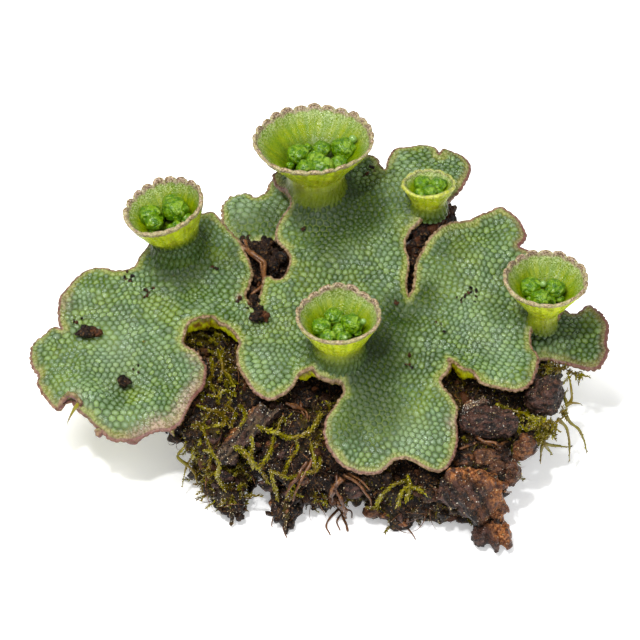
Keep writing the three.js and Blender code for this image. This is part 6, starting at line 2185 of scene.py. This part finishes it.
def scrap_piece(name):
    """A thin scrap of bark laid over the soil, with a stepped grain on top and layers at its edge."""
    scrap = SCRAPS[name]
    outline = anticlockwise(curve_through(scrap["outline"], 0.1, closed=True))
    level = in_plan(outline)
    ragged = 0.14 * noise_at(level, 0.5, 91) + 0.1 * noise_at(level, 0.2, 92)
    outline = outline + outward_of(outline) * ragged[:, None]
    spread = 0.09
    draw = np.random.default_rng(7)
    low, high = outline.min(0), outline.max(0)
    u, v = np.meshgrid(np.arange(low[0], high[0], spread), np.arange(low[1], high[1], spread))
    inner = np.stack([u.ravel(), v.ravel()], 1) + draw.uniform(-0.03, 0.03, (u.size, 2))
    flat, faces, origin = triangulate(outline, points_within(inner, outline, 0.07))
    base = lay_on_soil(flat[:, 0], flat[:, 1], scrap["thickness"] + SEAT_GAP + 0.25, bulk_gap)
    normals = point_normals(base, faces)

    way = unit(np.array(scrap["grain"], float))
    along, over = flat @ way, flat @ np.array([way[1], -way[0]])
    stretched = in_plan(np.column_stack([along / 5, over]))
    gap = margin_distance(flat, outline)
    top = base + normals * scrap_relief(scrap, flat, stretched, gap)[:, None]
    under = base - normals * scrap["thickness"]
    grain = 0.5 + 0.5 * layered_noise(stretched, scrap["fibre"], 3, 93)
    across = (over - over.min()) / np.ptp(over)
    rust = smooth((scrap["rusty"] - across) / 0.15) * smooth(1.3 - gap / scrap["rust_reach"])
    rust = rust * smooth(flat[:, 1] - scrap["rust_from"])

    edge = found_at(origin, len(outline))
    away = unit(np.cross(np.roll(base[edge], -1, 0) - np.roll(base[edge], 1, 0), normals[edge]))
    levels = np.linspace(0, 1, 9)
    rings = []
    for share in levels:
        ragged = 0.1 * noise_at(np.column_stack([outline, np.full(len(edge), 5 * share)]), 0.3, 97)
        ragged = ragged * (0 < share < 1)
        rings.append(top[edge] * (1 - share) + under[edge] * share + away * ragged[:, None])
    depth = np.repeat(levels, len(edge))
    layers = np.column_stack([depth * 4, np.tile(along[edge] / 3, len(levels)), depth])
    skin = Skin("rust", "grain", "worn")
    skin.add(top, faces, rust=rust, grain=grain, worn=scrap["worn"])
    skin.add(under, faces[:, ::-1], grain=0.3)
    skin.add(
        np.concatenate(rings), ring_faces(len(levels), len(edge))[:, ::-1],
        rust=np.tile(rust[edge], len(levels)), grain=0.5 + 0.5 * noise_at(layers, 0.5, 94),
    )
    skin.make(name + "_layers", BARK, replaces=[name])
    shown = draw.choice(len(top), 90)
    dew_glints_near(top[shown], normals[shown], 1.0, draw)


def bark_chip(skin, middle, sizes, planes, draw, level, rust):
    """A wet chip of bark with flat broken faces and a stepped grain."""
    sharpness = 90
    dew_glint_share = 70
    ball, faces = icosphere(level)
    sides = unit(draw.normal(0, 1, (planes, 3)))
    reach = draw.uniform(0.62, 1.0, planes)
    facing = np.maximum(ball @ sides.T, 0.3) / reach
    shape = np.minimum((facing**sharpness).sum(1) ** (-1 / sharpness), 1.2)
    points = middle + ball * shape[:, None] * sizes
    normals = point_normals(points, faces)
    stretched = points @ np.array([[1, 0.3, 0], [-0.3, 1, 0], [0.4, 0, 3]])
    rough = 0.1 * layered_noise(points, 0.6, 3, 98) + 0.12 * np.round(3 * noise_at(stretched, 0.6, 99)) / 3
    rough += 0.07 * layered_noise(points, 0.2, 2, 89)
    small = min(1.0, float(np.min(sizes)))
    points = points + normals * small * rough[:, None]
    keep_above(points)
    skin.add(points, faces, rust=rust, grain=0.5 + 0.5 * layered_noise(stretched, 0.4, 3, 97))
    dew_glints_near(points, normals, dew_glint_share * small**2 / len(points), draw)


def lump_piece(name, phase):
    lump = BARK_LUMPS[name]
    sizes = np.array(lump["sizes"])
    half_depth = math.hypot(sizes[1] * RUN, sizes[2] * RISE)
    middle = lay_on_soil(*lump["seen"], half_depth + SEAT_GAP)[0]
    skin = Skin("rust", "grain", "worn")
    bark_chip(skin, middle, sizes, 9, np.random.default_rng(130 + phase), 5, lump["rust"])
    skin.make(name + "_rough", BARK, replaces=[name])


def chips_piece():
    """Smaller wet chips of bark in the soil, mostly under the right-hand branch."""
    draw = np.random.default_rng(161)
    skin = Skin("rust", "grain", "worn")
    for u, v, wide, high, rust in BARK_CHIPS:
        middle = lay_on_soil(u, v, 0.35 * high)[0]
        sizes = np.array([wide, 0.7 * wide, high])
        bark_chip(skin, middle, sizes, 8, draw, 4, rust)
    for _ in range(SMALL_CHIPS):
        at = draw.choice(soil_shown)
        sizes = draw.uniform(0.18, 0.5) * np.array([1.0, 0.7, 0.45])[draw.permutation(3)]
        bark_chip(skin, soil_points[at], sizes, 7, draw, 2, draw.choice([0.0, 0.0, 0.7]))
    skin.make("bark_chips", BARK)


# Dew, bright beads that stand for glints
def dew_glint_piece():
    """Beads of water over the soil, bark and moss, painted bright to show as glints."""
    draw = np.random.default_rng(141)
    middles = np.concatenate(DEW_GLINTS)
    middles = middles[middles[:, 2] > 0.15]
    sizes = draw.uniform(0.017, 0.04, len(middles)) * draw.choice([1.0, 1.0, 1.5], len(middles))
    bead = np.concatenate([np.eye(3), -np.eye(3)])
    upper = [(0, 1, 2), (1, 3, 2), (3, 4, 2), (4, 0, 2)]
    lower = [(1, 0, 5), (3, 1, 5), (4, 3, 5), (0, 4, 5)]
    points = middles[:, None] + sizes[:, None, None] * bead[None]
    faces = np.array(upper + lower)[None] + len(bead) * np.arange(len(middles))[:, None, None]
    skin = Skin()
    skin.add(points, faces)
    skin.make("dew_glints_on_soil", DEW_GLINT_BEADS)


for scrap_name in SCRAPS:
    scrap_piece(scrap_name)
for phase, lump_name in enumerate(BARK_LUMPS):
    lump_piece(lump_name, phase)
for phase, crumb_name in enumerate(CRUMBS):
    crumb_piece(crumb_name, phase)
specks_piece()
debris_piece()
fringe_piece()
chips_piece()
dew_glint_piece()
